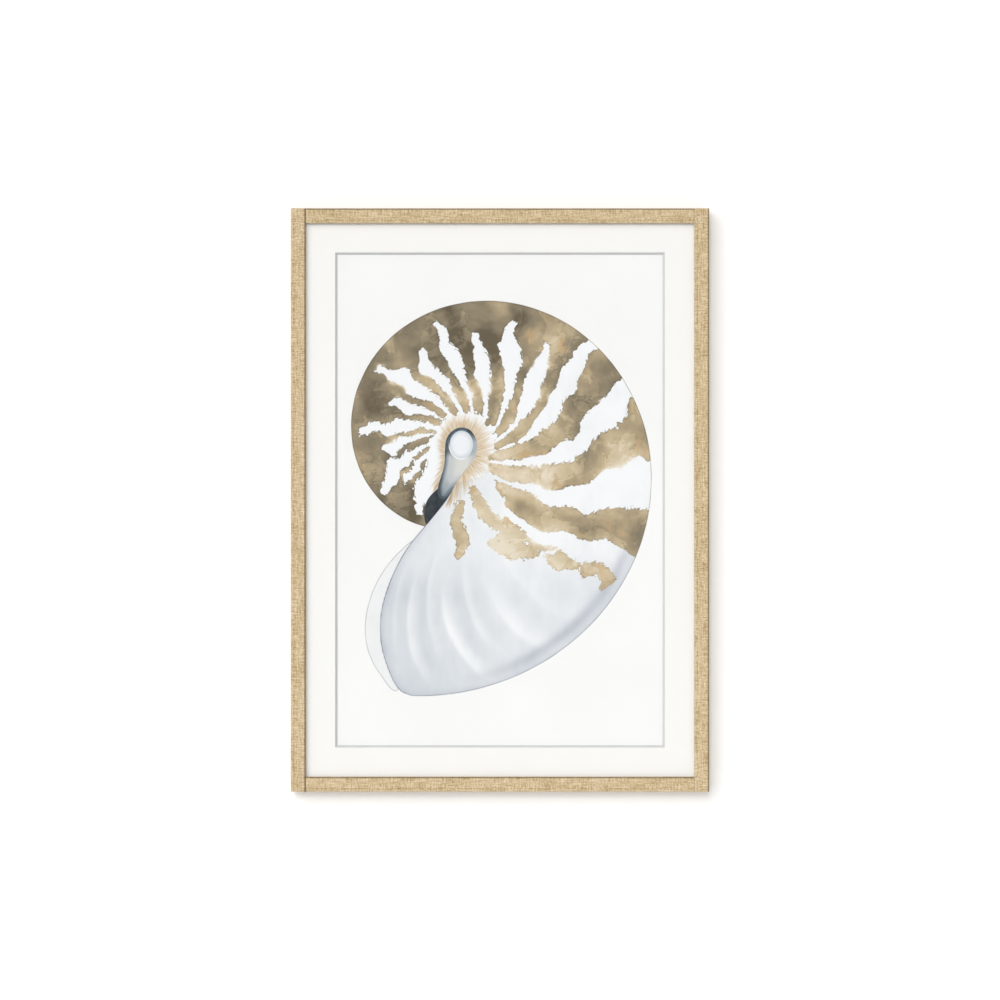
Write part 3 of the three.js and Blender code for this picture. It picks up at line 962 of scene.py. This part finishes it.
def print_grid():
    """Uneven grid over the sheet: fine where the small shapes are, and none under the mat."""
    w, h = WIN_W / 2, WIN_H / 2

    def axis(lo, hi, outer, fine_lo, fine_hi, fine, coarse):
        a = list(np.arange(lo, fine_lo, coarse)) + list(np.arange(fine_lo, fine_hi, fine)) + list(np.arange(fine_hi, hi, coarse)) + [hi]
        return np.array([-outer] + a + [outer])

    xs = axis(-w, w, (PRINT_HI[0] - PRINT_LO[0]) / 2, -106, -14, 1.7, 2.6)
    zs = axis(-h, h, (PRINT_HI[2] - PRINT_LO[2]) / 2, -54, 112, 1.7, 2.7)
    return xs, zs


def print_sheet(material):
    xs, zs = print_grid()
    nx, nz = len(xs), len(zs)
    X, Z = np.meshgrid(xs, zs)
    q = np.stack([X.ravel(), Z.ravel()], 1)
    fields = art_fields(q)
    y0, y1 = PRINT_LO[1], PRINT_HI[1]
    cockle = 0.09 * np.sin(q[:, 0] / 71 + 0.6) * np.sin(q[:, 1] / 93 + 1.1)
    front = np.stack([q[:, 0], y0 + 0.1 + cockle, q[:, 1] + MID_Z], 1)
    faces = []
    for j in range(nz - 1):
        for i in range(nx - 1):
            a = j * nx + i
            faces.append((a, a + 1, a + nx + 1, a + nx))
    # the back: one flat face joined to the front's border
    border = [i for i in range(nx)] + [j * nx + nx - 1 for j in range(1, nz)]
    border += [(nz - 1) * nx + i for i in range(nx - 2, -1, -1)] + [j * nx for j in range(nz - 2, 0, -1)]
    n = len(front)
    back = np.array([[front[b][0], y1, front[b][2]] for b in border])
    for k in range(len(border)):
        m = (k + 1) % len(border)
        faces.append((border[k], n + k, n + m, border[m]))
    faces.append(tuple(n + k for k in range(len(border))))
    verts = np.concatenate([front, back])
    pad = {k: np.concatenate([v, np.array([v[b] for b in border])]) for k, v in fields.items()}
    pos = np.concatenate([q, q[border]])
    ob = new_mesh("art_print", verts, faces, floats=pad, vectors={"art": np.stack([pos[:, 0], pos[:, 1], pos[:, 0] * 0], 1)}, material=material)
    # the visible part of the sheet fills the map
    layer = ob.data.uv_layers.new(name="OFBake")

    def squeeze(v, half, outer):
        t = np.where(np.abs(v) <= half, v / half * 0.48, np.sign(v) * (0.48 + 0.012 * (np.abs(v) - half) / max(outer - half, 1e-6)))
        return 0.5 + t

    u = squeeze(pos[:, 0], WIN_W / 2, (PRINT_HI[0] - PRINT_LO[0]) / 2)
    v = squeeze(pos[:, 1], WIN_H / 2, (PRINT_HI[2] - PRINT_LO[2]) / 2)
    li = np.zeros(len(ob.data.loops), np.int32)
    ob.data.loops.foreach_get("vertex_index", li)
    uv = np.stack([u[li], v[li]], 1)
    n_front = (nx - 1) * (nz - 1) * 4
    uv[n_front:] = 0.997 + 0.002 * (uv[n_front:] - 0.5)  # sides and back share a scrap of the corner
    layer.data.foreach_set("uv", uv.astype(np.float32).ravel())
    bm = bmesh.new()
    bm.from_mesh(ob.data)
    bmesh.ops.triangulate(bm, faces=[f for f in bm.faces if len(f.verts) > 4])
    bmesh.ops.recalc_face_normals(bm, faces=bm.faces)
    bm.to_mesh(ob.data)
    bm.free()
    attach(ob, "root")
    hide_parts("print_sheet")
    return ob


def art_material():
    g = Graph("watercolour")
    P = g.attr("art", "Vector")
    A = {k: g.attr(k) for k in (
        "a_coil", "a_body", "a_sil", "a_flap", "a_neck", "a_plug", "a_dark", "a_band", "a_bandb", "a_tone", "a_toneb",
        "a_side", "a_sideb", "a_reach", "a_shade", "a_keel", "a_lip", "a_left", "a_cool",
    )}
    rel = g.vec("SUBTRACT", P, (float(UMB[0]), float(UMB[1]), 0.0))  # from the umbilicus
    rx, rz, _ = g.split(rel)
    rr = g.vec("LENGTH", rel)

    def nz(scale, detail=2.0, rough=0.5, distort=0.0, off=0.0, stretch=None):
        v = g.vec("ADD", P, (off, off * 0.7, off * 1.3)) if off else P
        if stretch:
            v = g.vec("MULTIPLY", v, stretch)
        return g.noise(v, scale, detail, rough, distort)

    def centred(n, amount):
        return g.mul(g.sub(n, 0.5), amount)

    # hand wobble of every drawn edge, and the jag of a dry brush on the paper's tooth
    wob = centred(nz(0.035, 2.0, 0.5, off=11), 3.2)
    jag = g.add(centred(nz(0.095, 4.0, 0.68, 0.4, off=31), 15.5), centred(nz(0.3, 3.0, 0.7, off=47), 5.5))
    tooth = nz(0.9, 2.0, 0.6, off=5)
    grain = nz(2.2, 2.0, 0.7, off=8)

    def mask(f, soft=0.35, shift=0.0):
        return g.step(f, shift - soft, shift + soft)

    in_body = mask(g.add(A["a_body"], g.mul(wob, 0.25)))
    in_coil = mask(g.add(A["a_coil"], g.mul(wob, 0.35)))
    in_shell = g.mx(in_body, in_coil)
    neck_f = g.add(A["a_neck"], g.mul(wob, 0.2))
    plug_f = g.add(A["a_plug"], g.mul(wob, 0.2))
    dark_f = g.add(A["a_dark"], g.mul(wob, 0.3))
    in_neck = mask(neck_f)
    in_plug = mask(plug_f, 0.5)
    in_dark = mask(dark_f, 0.4)

    # ---- paper ---------------------------------------------------------------------------
    cloud = nz(0.006, 3.0, 0.5, off=2)
    laid = nz(0.5, 2.0, 0.6, off=3, stretch=(0.12, 1.0, 1.0))
    sheet_tone = g.add(g.mul(cloud, 0.6), g.mul(laid, 0.4))
    colour = g.ramp(sheet_tone, [(0.35, srgb(250, 249, 248)), (0.6, srgb(253, 253, 252))], "LINEAR")

    def glaze(base, density, ink):
        """Transparent paint: density 0 leaves the paper, 1 multiplies by the ink."""
        return g.mix(density, base, g.mix(1.0, base, ink, "MULTIPLY"))

    # ---- far lip behind the opening ---------------------------------------------------------
    flap_f = g.add(A["a_flap"], g.mul(wob, 0.3))
    flap_in = g.mul(mask(flap_f), g.inv(in_shell))
    flap_wash = g.mul(flap_in, g.madd(nz(0.03, 2.0, 0.5, off=17), 0.7, 0.3))
    colour = glaze(colour, flap_wash, ink(240, 242, 244))
    rim_line = g.mul(g.step(g.math("ABSOLUTE", flap_f), 1.15, 0.25), g.inv(in_shell))
    colour = glaze(colour, g.mul(rim_line, g.madd(nz(0.05, 2.0, 0.5, off=19), 0.8, 0.45)), ink(200, 202, 208))

    # ---- the shell's own white, a touch cooler than the paper ---------------------------------
    colour = g.mix(in_shell, colour, srgb(250, 251, 253))

    # ---- pigment bands -------------------------------------------------------------------------
    damp = g.step(nz(0.017, 2.0, 0.5, off=141), 0.56, 0.66)  # where the paper was wet and edges ran
    soft = g.madd(damp, 2.2, 0.32)
    bloom = nz(0.015, 3.0, 0.5, 0.5, off=100)
    bloom2 = nz(0.048, 3.0, 0.55, 0.6, off=107)
    # cauliflower fronts: a wash that crept back and left a crinkled dark line
    front_a = nz(0.016, 5.0, 0.62, 0.5, off=131)
    front_b = nz(0.030, 5.0, 0.66, 0.6, off=137)
    teeth_at = g.math("FRACT", g.madd(g.sub(nz(0.05, 2.0, 0.5, off=151), 0.5), 4.0, g.mul(rr, 0.088)))

    def fronts(n, at, lift):
        """Lighter past the front, with a thin dark line along it."""
        past = g.step(n, at, at + 0.006)
        line = g.mul(g.step(n, at + 0.016, at + 0.004), past)
        return g.madd(line, 0.24, g.mul(past, lift))

    def bands(f, side, tone, keep):
        spikes = g.mul(g.math("POWER", teeth_at, 1.7), g.step(side, -0.1, -0.8))
        f = g.add(g.madd(spikes, 3.6, f), g.add(jag, -1.2))
        f = g.mn(f, g.sub(g.neg(neck_f), 13.0))
        on = g.mul(g.step(f, g.neg(soft), soft), keep)
        t = g.add(g.add(tone, 0.07), centred(bloom, 1.15))
        t = g.add(t, centred(bloom2, 0.34))
        t = g.add(t, fronts(front_a, 0.53, -0.12))
        t = g.add(t, fronts(front_b, 0.57, -0.09))
        # pigment settles along each edge that dried
        settle = g.mul(g.step(f, 2.1, 0.3), g.mul(g.inv(damp), g.madd(bloom2, 1.4, -0.22)))
        t = g.madd(settle, 0.6, t)
        t = g.madd(g.mul(damp, g.step(f, 7.0, 0.0)), -0.22, t)
        t = g.add(t, centred(tooth, 0.12))
        t = g.add(t, centred(grain, 0.08))
        ink = g.ramp(
            t,
            [
                (0.0, srgb(235, 224, 203)),
                (0.18, srgb(221, 205, 176)),
                (0.36, srgb(203, 184, 150)),
                (0.52, srgb(180, 162, 130)),
                (0.68, srgb(153, 139, 113)),
                (0.84, srgb(131, 119, 96)),
                (1.0, srgb(103, 91, 70)),
            ],
            "LINEAR",
        )
        warm = g.mul(g.step(nz(0.026, 3.0, 0.55, 0.6, off=153), 0.56, 0.68), g.step(t, 0.75, 0.45))
        ink = g.mix(g.mul(warm, 0.5), ink, srgb(203, 162, 112))
        return on, ink

    coil_band, coil_ink = bands(A["a_band"], A["a_side"], A["a_tone"], g.mul(in_coil, g.inv(in_body)))
    colour = g.mix(coil_band, colour, coil_ink)
    body_band, body_ink = bands(A["a_bandb"], A["a_sideb"], A["a_toneb"], in_body)

    # ---- cool shading of the body chamber ---------------------------------------------------------
    wash = g.add(A["a_shade"], centred(nz(0.018, 3.0, 0.5, 0.4, off=61), 0.45))
    brush = nz(0.10, 2.0, 0.5, off=67, stretch=(1.0, 0.35, 1.0))
    wash = g.mx(g.add(wash, centred(brush, 0.2)), 0.0)
    body_col = glaze(colour, g.mul(wash, in_body), ink(202, 208, 214))
    keel = g.mul(g.mul(A["a_keel"], g.madd(nz(0.03, 2.0, 0.5, off=71), 0.9, 0.55)), in_body)
    body_col = glaze(body_col, keel, ink(203, 206, 214))
    body_col = g.mix(body_band, body_col, body_ink)
    colour = g.mix(in_body, colour, body_col)

    # ---- outlines -----------------------------------------------------------------------------------
    sil_f = g.add(A["a_sil"], g.mul(wob, 0.3))
    pen = g.mul(g.step(g.math("ABSOLUTE", g.sub(sil_f, 0.4)), 1.2, 0.2), g.madd(nz(0.04, 2.0, 0.5, off=73), 0.9, 0.35))
    colour = glaze(colour, g.mul(pen, A["a_cool"]), ink(176, 179, 192))
    colour = glaze(colour, g.mul(g.mul(pen, g.inv(A["a_cool"])), 0.75), ink(158, 146, 124))
    lip_line = g.mul(g.step(A["a_lip"], 1.3, 0.2), g.madd(nz(0.04, 2.0, 0.5, off=74), 0.9, 0.35))
    colour = glaze(colour, lip_line, ink(172, 178, 191))

    # ---- halo of fine ochre strokes round the callus -------------------------------------------------
    out_d = g.neg(neck_f)
    from_eye = g.vec("SUBTRACT", P, (float(UMB[0]) - 3, float(UMB[1]) - 12, 0.0))
    ux, uz, _ = g.split(g.vec("NORMALIZE", from_eye))
    hair = g.noise(g.xyz(g.mul(ux, 13.0), g.mul(uz, 13.0), g.mul(out_d, 0.035)), 1.0, 3.0, 0.7)
    hair2 = g.noise(g.xyz(g.mul(ux, 30.0), g.mul(uz, 30.0), g.mul(out_d, 0.06)), 1.0, 2.0, 0.7)
    reach = g.mul(A["a_reach"], g.add(g.madd(hair, 1.3, 0.2), centred(hair2, 1.2)))
    fade = g.step(out_d, reach, g.mul(reach, 0.3))
    halo = g.mul(g.mul(fade, g.madd(hair2, 1.1, 0.22)), mask(out_d, 0.5))
    halo = g.mul(halo, g.mul(in_shell, g.inv(in_dark)))
    colour = glaze(colour, halo, ink(222, 197, 155))
    deep = g.mul(g.step(out_d, 15.0, 0.0), g.step(hair2, 0.42, 0.66))
    colour = glaze(colour, g.mul(g.mul(deep, 0.6), g.mul(in_shell, mask(out_d, 0.5))), ink(207, 172, 122))

    # ---- dark hollow where the coil goes in under the lip ---------------------------------------------
    ink_d = g.ramp(g.add(nz(0.09, 2.0, 0.5, off=91), centred(grain, 0.25)), [(0.3, srgb(32, 39, 44)), (0.7, srgb(56, 65, 71))], "LINEAR")
    on_body = mask(g.add(A["a_body"], g.mul(wob, 0.25)), 0.4, 0.4)
    colour = g.mix(g.mul(in_dark, g.inv(on_body)), colour, ink_d)

    # ---- callus: slate below, pale plug above ---------------------------------------------------------
    shade = g.add(A["a_left"], centred(nz(0.05, 2.0, 0.5, off=93), 0.3))
    near_edge = g.step(neck_f, 8.0, 0.5)
    neck_t = g.add(g.mul(shade, 0.5), g.mul(near_edge, g.madd(shade, 0.5, 0.12)))
    neck_t = g.add(neck_t, g.step(rz, -46.0, -76.0, 0.0, 0.22))
    neck_col = g.ramp(
        neck_t,
        [
            (0.0, srgb(222, 221, 217)),
            (0.22, srgb(201, 204, 205)),
            (0.45, srgb(166, 175, 180)),
            (0.7, srgb(118, 132, 141)),
            (1.0, srgb(70, 84, 94)),
        ],
        "EASE",
    )
    neck_line = g.step(neck_f, 1.5, 0.1)
    neck_col = g.mix(g.mul(neck_line, g.step(rx, -2.0, -18.0, 0.35, 0.9)), neck_col, srgb(62, 74, 84))
    # the rolled rim over the plug: dark at the top and left, paling to the right
    rim_col = g.ramp(g.add(nz(0.1, 2.0, 0.5, off=95), g.step(neck_f, 0.0, 5.5, -0.12, 0.25)), [(0.3, srgb(40, 52, 60)), (0.8, srgb(94, 109, 118))], "LINEAR")
    neck_col = g.mix(g.step(rz, -20.0, -6.0), neck_col, rim_col)
    right = g.mul(g.step(rx, 8.0, 22.0), g.step(rz, 22.0, 2.0))
    neck_col = g.mix(g.mul(right, 0.85), neck_col, srgb(186, 194, 201))
    colour = g.mix(in_neck, colour, neck_col)
    swirl = g.noise(g.xyz(g.mul(rx, 0.05), g.mul(rr, 0.2), 4.0), 1.0, 3.0, 0.6)
    plug_t_ = g.add(g.mul(swirl, 0.5), g.mul(g.step(plug_f, 9.0, 0.0), 0.42))
    plug_col = g.ramp(plug_t_, [(0.2, srgb(246, 248, 251)), (0.5, srgb(231, 235, 241)), (0.85, srgb(196, 205, 215))], "LINEAR")
    colour = g.mix(in_plug, colour, plug_col)
    glint = g.step(g.math("ABSOLUTE", g.add(plug_f, 0.9)), 1.4, 0.5)
    glint = g.mul(g.mul(glint, in_neck), g.step(g.madd(rx, 0.8, rz), -8.0, -20.0))
    colour = g.mix(g.mul(glint, 0.95), colour, srgb(248, 249, 251))

    fibre = g.add(g.mul(tooth, 0.6), g.mul(nz(0.25, 3.0, 0.6, off=97), 0.4))
    g.principled(
        Base_Color=colour,
        Roughness=g.madd(tooth, 0.1, 0.82),
        Normal=g.bump(fibre, 0.00012, 0.35),
        Specular_IOR_Level=0.2,
    )
    return g.mat


art = print_sheet(art_material())


# ------------------------------------------------------------------------------------------
# Glazing
# ------------------------------------------------------------------------------------------
def glazing_material():
    """Clear acrylic: each face mirrors what its angle says and lets the rest straight through, with a few hairline wiping marks in the gloss."""
    g = Graph("clear_acrylic")
    p = object_mm(g)
    wipe = g.noise(g.vec("MULTIPLY", p, (0.02, 1.0, 0.35)), 1.0, 3.0, 0.6)
    gloss = g.t.nodes.new("ShaderNodeBsdfGlossy")
    gloss.inputs["Color"].default_value = (1, 1, 1, 1)
    g.put(gloss.inputs["Roughness"], g.step(wipe, 0.62, 0.8, 0.015, 0.05))
    clear = g.t.nodes.new("ShaderNodeBsdfTransparent")
    clear.inputs["Color"].default_value = (0.996, 0.998, 0.997, 1)
    facing = g.t.nodes.new("ShaderNodeFresnel")
    facing.inputs["IOR"].default_value = 1.49
    side = g.t.nodes.new("ShaderNodeNewGeometry")
    mix = g.t.nodes.new("ShaderNodeMixShader")
    g.put(mix.inputs[0], g.mul(facing.outputs[0], g.inv(side.outputs["Backfacing"])))
    g.t.links.new(clear.outputs[0], mix.inputs[1])
    g.t.links.new(gloss.outputs[0], mix.inputs[2])
    g.t.links.new(mix.outputs[0], g.out.inputs[0])
    return g.mat


set_material(NODES["glazing_sheet"], glazing_material())


# ------------------------------------------------------------------------------------------
# Back and hardware
# ------------------------------------------------------------------------------------------
def hardboard_material():
    g = Graph("hardboard")
    p = object_mm(g)
    chips = g.noise(p, 0.22, 5.0, 0.68)
    fine = g.noise(p, 1.3, 3.0, 0.7)
    streak = g.noise(g.vec("MULTIPLY", p, (0.05, 0.05, 0.6)), 1.0, 3.0, 0.6)
    spot = g.step(g.voronoi(p, 0.11), 0.10, 0.03)
    t = g.madd(g.sub(chips, 0.5), 0.9, 0.5)
    t = g.madd(g.sub(fine, 0.5), 0.6, t)
    t = g.madd(g.sub(streak, 0.5), 0.35, t)
    col = g.ramp(
        t,
        [(0.1, srgb(104, 76, 50)), (0.4, srgb(136, 104, 72)), (0.65, srgb(156, 123, 88)), (0.95, srgb(184, 152, 114))],
        "LINEAR",
    )
    col = g.mix(g.mul(spot, 0.5), col, srgb(92, 66, 44))
    g.principled(Base_Color=col, Roughness=g.madd(fine, 0.2, 0.62), Normal=g.bump(g.add(chips, fine), 0.0002, 0.5), Specular_IOR_Level=0.35)
    return g.mat


def steel_material(name, tint, along=(1, 1, 1)):
    g = Graph(name)
    p = object_mm(g)
    brushed = g.noise(g.vec("MULTIPLY", p, along), 1.0, 3.0, 0.6)
    spangle = g.voronoi(p, 0.45, "F1", "Color")
    sp, _, _ = g.split(spangle)
    smudge = g.noise(p, 0.12, 3.0, 0.6)
    dark = tuple(c * 0.72 for c in tint[:3]) + (1,)
    col = g.mix(g.add(g.mul(sp, 0.35), g.mul(brushed, 0.45)), tint, dark)
    g.principled(
        Base_Color=col,
        Metallic=1.0,
        Roughness=g.madd(smudge, 0.25, g.madd(brushed, 0.12, 0.2)),
        Normal=g.bump(brushed, 0.00005, 0.4),
    )
    return g.mat


def felt_material():
    g = Graph("felt_grey")
    p = object_mm(g)
    wool = g.noise(p, 1.6, 4.0, 0.75, 1.2)
    lump = g.noise(p, 0.4, 3.0, 0.6)
    col = g.ramp(g.madd(g.sub(lump, 0.5), 0.5, wool), [(0.25, srgb(112, 109, 103)), (0.55, srgb(146, 143, 136)), (0.8, srgb(178, 174, 167))], "LINEAR")
    g.principled(Base_Color=col, Roughness=0.95, Normal=g.bump(g.add(wool, lump), 0.0004, 0.8), Sheen_Weight=0.35, Sheen_Roughness=0.6, Specular_IOR_Level=0.15)
    return g.mat


def ease(ob, width_mm, segments=2):
    """Slightly rounded edges on a carried-over solid."""
    weld = ob.modifiers.new("weld", "WELD")
    weld.merge_threshold = 1e-6
    bev = ob.modifiers.new("ease", "BEVEL")
    bev.width = width_mm / 1000
    bev.segments = segments
    bev.limit_method = "ANGLE"
    bev.angle_limit = math.radians(35)
    bev.harden_normals = False


set_material(NODES["backing_board"], hardboard_material())
ZINC = steel_material("zinc_steel", srgb(196, 198, 200), (2.0, 2.0, 0.2))
for name, ob in NODES.items():
    if name.startswith("tab_"):
        set_material(ob, ZINC)
        ease(ob, 0.08, 1)
HANGER = steel_material("hanger_steel", srgb(186, 188, 190), (0.15, 2.5, 2.5))
set_material(NODES["sawtooth_hanger"], HANGER)
ease(NODES["sawtooth_hanger"], 0.12, 2)
for name in ("hanger_nail_left", "hanger_nail_right"):
    set_material(NODES[name], ZINC)
FELT = felt_material()
for name in ("wall_bumper_left", "wall_bumper_right"):
    set_material(NODES[name], FELT)


# ------------------------------------------------------------------------------------------
# Stage and light
# ------------------------------------------------------------------------------------------
def plain(name, colour, rough=0.9):
    g = Graph(name)
    g.principled(Base_Color=colour, Roughness=rough, Specular_IOR_Level=0.1)
    return g.mat


def slab(name, corners, material):
    ob = new_mesh(name, [tuple(1000 * c for c in p) for p in corners], [(0, 1, 2, 3)], material=material)
    return ob


floor_z = MID_Z / 1000 - 1.30
slab("floor", [(-9, -9, floor_z), (9, -9, floor_z), (9, 2.2, floor_z), (-9, 2.2, floor_z)], plain("floor_pale", (0.90, 0.895, 0.885, 1.0)))
# the wall takes the picture's shadow; behind the picture it is open, so that the back can be seen
hole = [(STILE_LO[0] + 6) / 1000, (BOT_LO[2] + 6) / 1000, (RSTILE_HI[0] - 6) / 1000, (TOP_HI[2] - 6) / 1000]
edge_out = [-1.5, floor_z, 1.5, 1.1]
ring_in = [(hole[0], hole[1]), (hole[2], hole[1]), (hole[2], hole[3]), (hole[0], hole[3])]
ring_out = [(edge_out[0], edge_out[1]), (edge_out[2], edge_out[1]), (edge_out[2], edge_out[3]), (edge_out[0], edge_out[3])]


def wall_material():
    """White paint on the room's side and nothing on the other, so that the picture's back can be seen."""
    g = Graph("wall_white")
    paint = g.principled(Base_Color=(0.945, 0.945, 0.945, 1.0), Roughness=0.9, Specular_IOR_Level=0.1)
    side = g.t.nodes.new("ShaderNodeNewGeometry")
    clear = g.t.nodes.new("ShaderNodeBsdfTransparent")
    mix = g.t.nodes.new("ShaderNodeMixShader")
    g.put(mix.inputs[0], side.outputs["Backfacing"])
    g.t.links.new(paint.outputs[0], mix.inputs[1])
    g.t.links.new(clear.outputs[0], mix.inputs[2])
    g.t.links.new(mix.outputs[0], g.out.inputs[0])
    return g.mat


wall = new_mesh(
    "wall",
    [(x * 1000, 0.6, z * 1000) for x, z in ring_in + ring_out],
    [(4 + k, 4 + (k + 1) % 4, (k + 1) % 4, k) for k in range(4)],
    material=wall_material(),
)

world = bpy.data.worlds.new("studio")
bpy.context.scene.world = world
world.use_nodes = True
wt = world.node_tree
wt.nodes.clear()
w_out = wt.nodes.new("ShaderNodeOutputWorld")
w_mix = wt.nodes.new("ShaderNodeMixShader")
w_path = wt.nodes.new("ShaderNodeLightPath")
w_env = wt.nodes.new("ShaderNodeBackground")
w_see = wt.nodes.new("ShaderNodeBackground")
w_env.inputs["Color"].default_value = (1.0, 1.0, 1.0, 1)
w_env.inputs["Strength"].default_value = 0.50
w_see.inputs["Color"].default_value = (1.0, 1.0, 1.0, 1)
w_see.inputs["Strength"].default_value = 1.0
wt.links.new(w_path.outputs["Is Camera Ray"], w_mix.inputs[0])
wt.links.new(w_env.outputs[0], w_mix.inputs[1])
wt.links.new(w_see.outputs[0], w_mix.inputs[2])
wt.links.new(w_mix.outputs[0], w_out.inputs[0])


def area(name, at, aim, size, watts, colour=(1, 1, 1)):
    data = bpy.data.lights.new(name, "AREA")
    data.shape = "RECTANGLE"
    data.size, data.size_y = size
    data.energy = watts
    data.color = colour
    ob = bpy.data.objects.new(name, data)
    bpy.context.scene.collection.objects.link(ob)
    ob.location = at
    ob.rotation_mode = "QUATERNION"
    ob.rotation_quaternion = (Vector(aim) - Vector(at)).to_track_quat("-Z", "Y")
    return ob


mid = (0.0, 0.0, MID_Z / 1000)


def sky_panel(name, aim, degrees, energy):
    """Even light from a wide, far softbox, shining along aim."""
    data = bpy.data.lights.new(name, "SUN")
    data.angle = math.radians(degrees)
    data.energy = energy
    ob = bpy.data.objects.new(name, data)
    bpy.context.scene.collection.objects.link(ob)
    ob.rotation_mode = "QUATERNION"
    ob.rotation_quaternion = Vector(aim).to_track_quat("-Z", "Y")


sky_panel("key", (0.56, 1.0, -0.56), 56, 1.58)
sky_panel("fill", (0.10, 1.0, -0.36), 16, 0.585)
area("rear", (1.8, 3.0, MID_Z / 1000 + 1.8), mid, (1.6, 1.6), 60)

bpy.context.scene.view_settings.view_transform = "Standard"
bpy.context.scene.view_settings.look = "None"
bpy.context.scene.cycles.transparent_max_bounces = 16
bpy.context.scene.cycles.max_bounces = 10
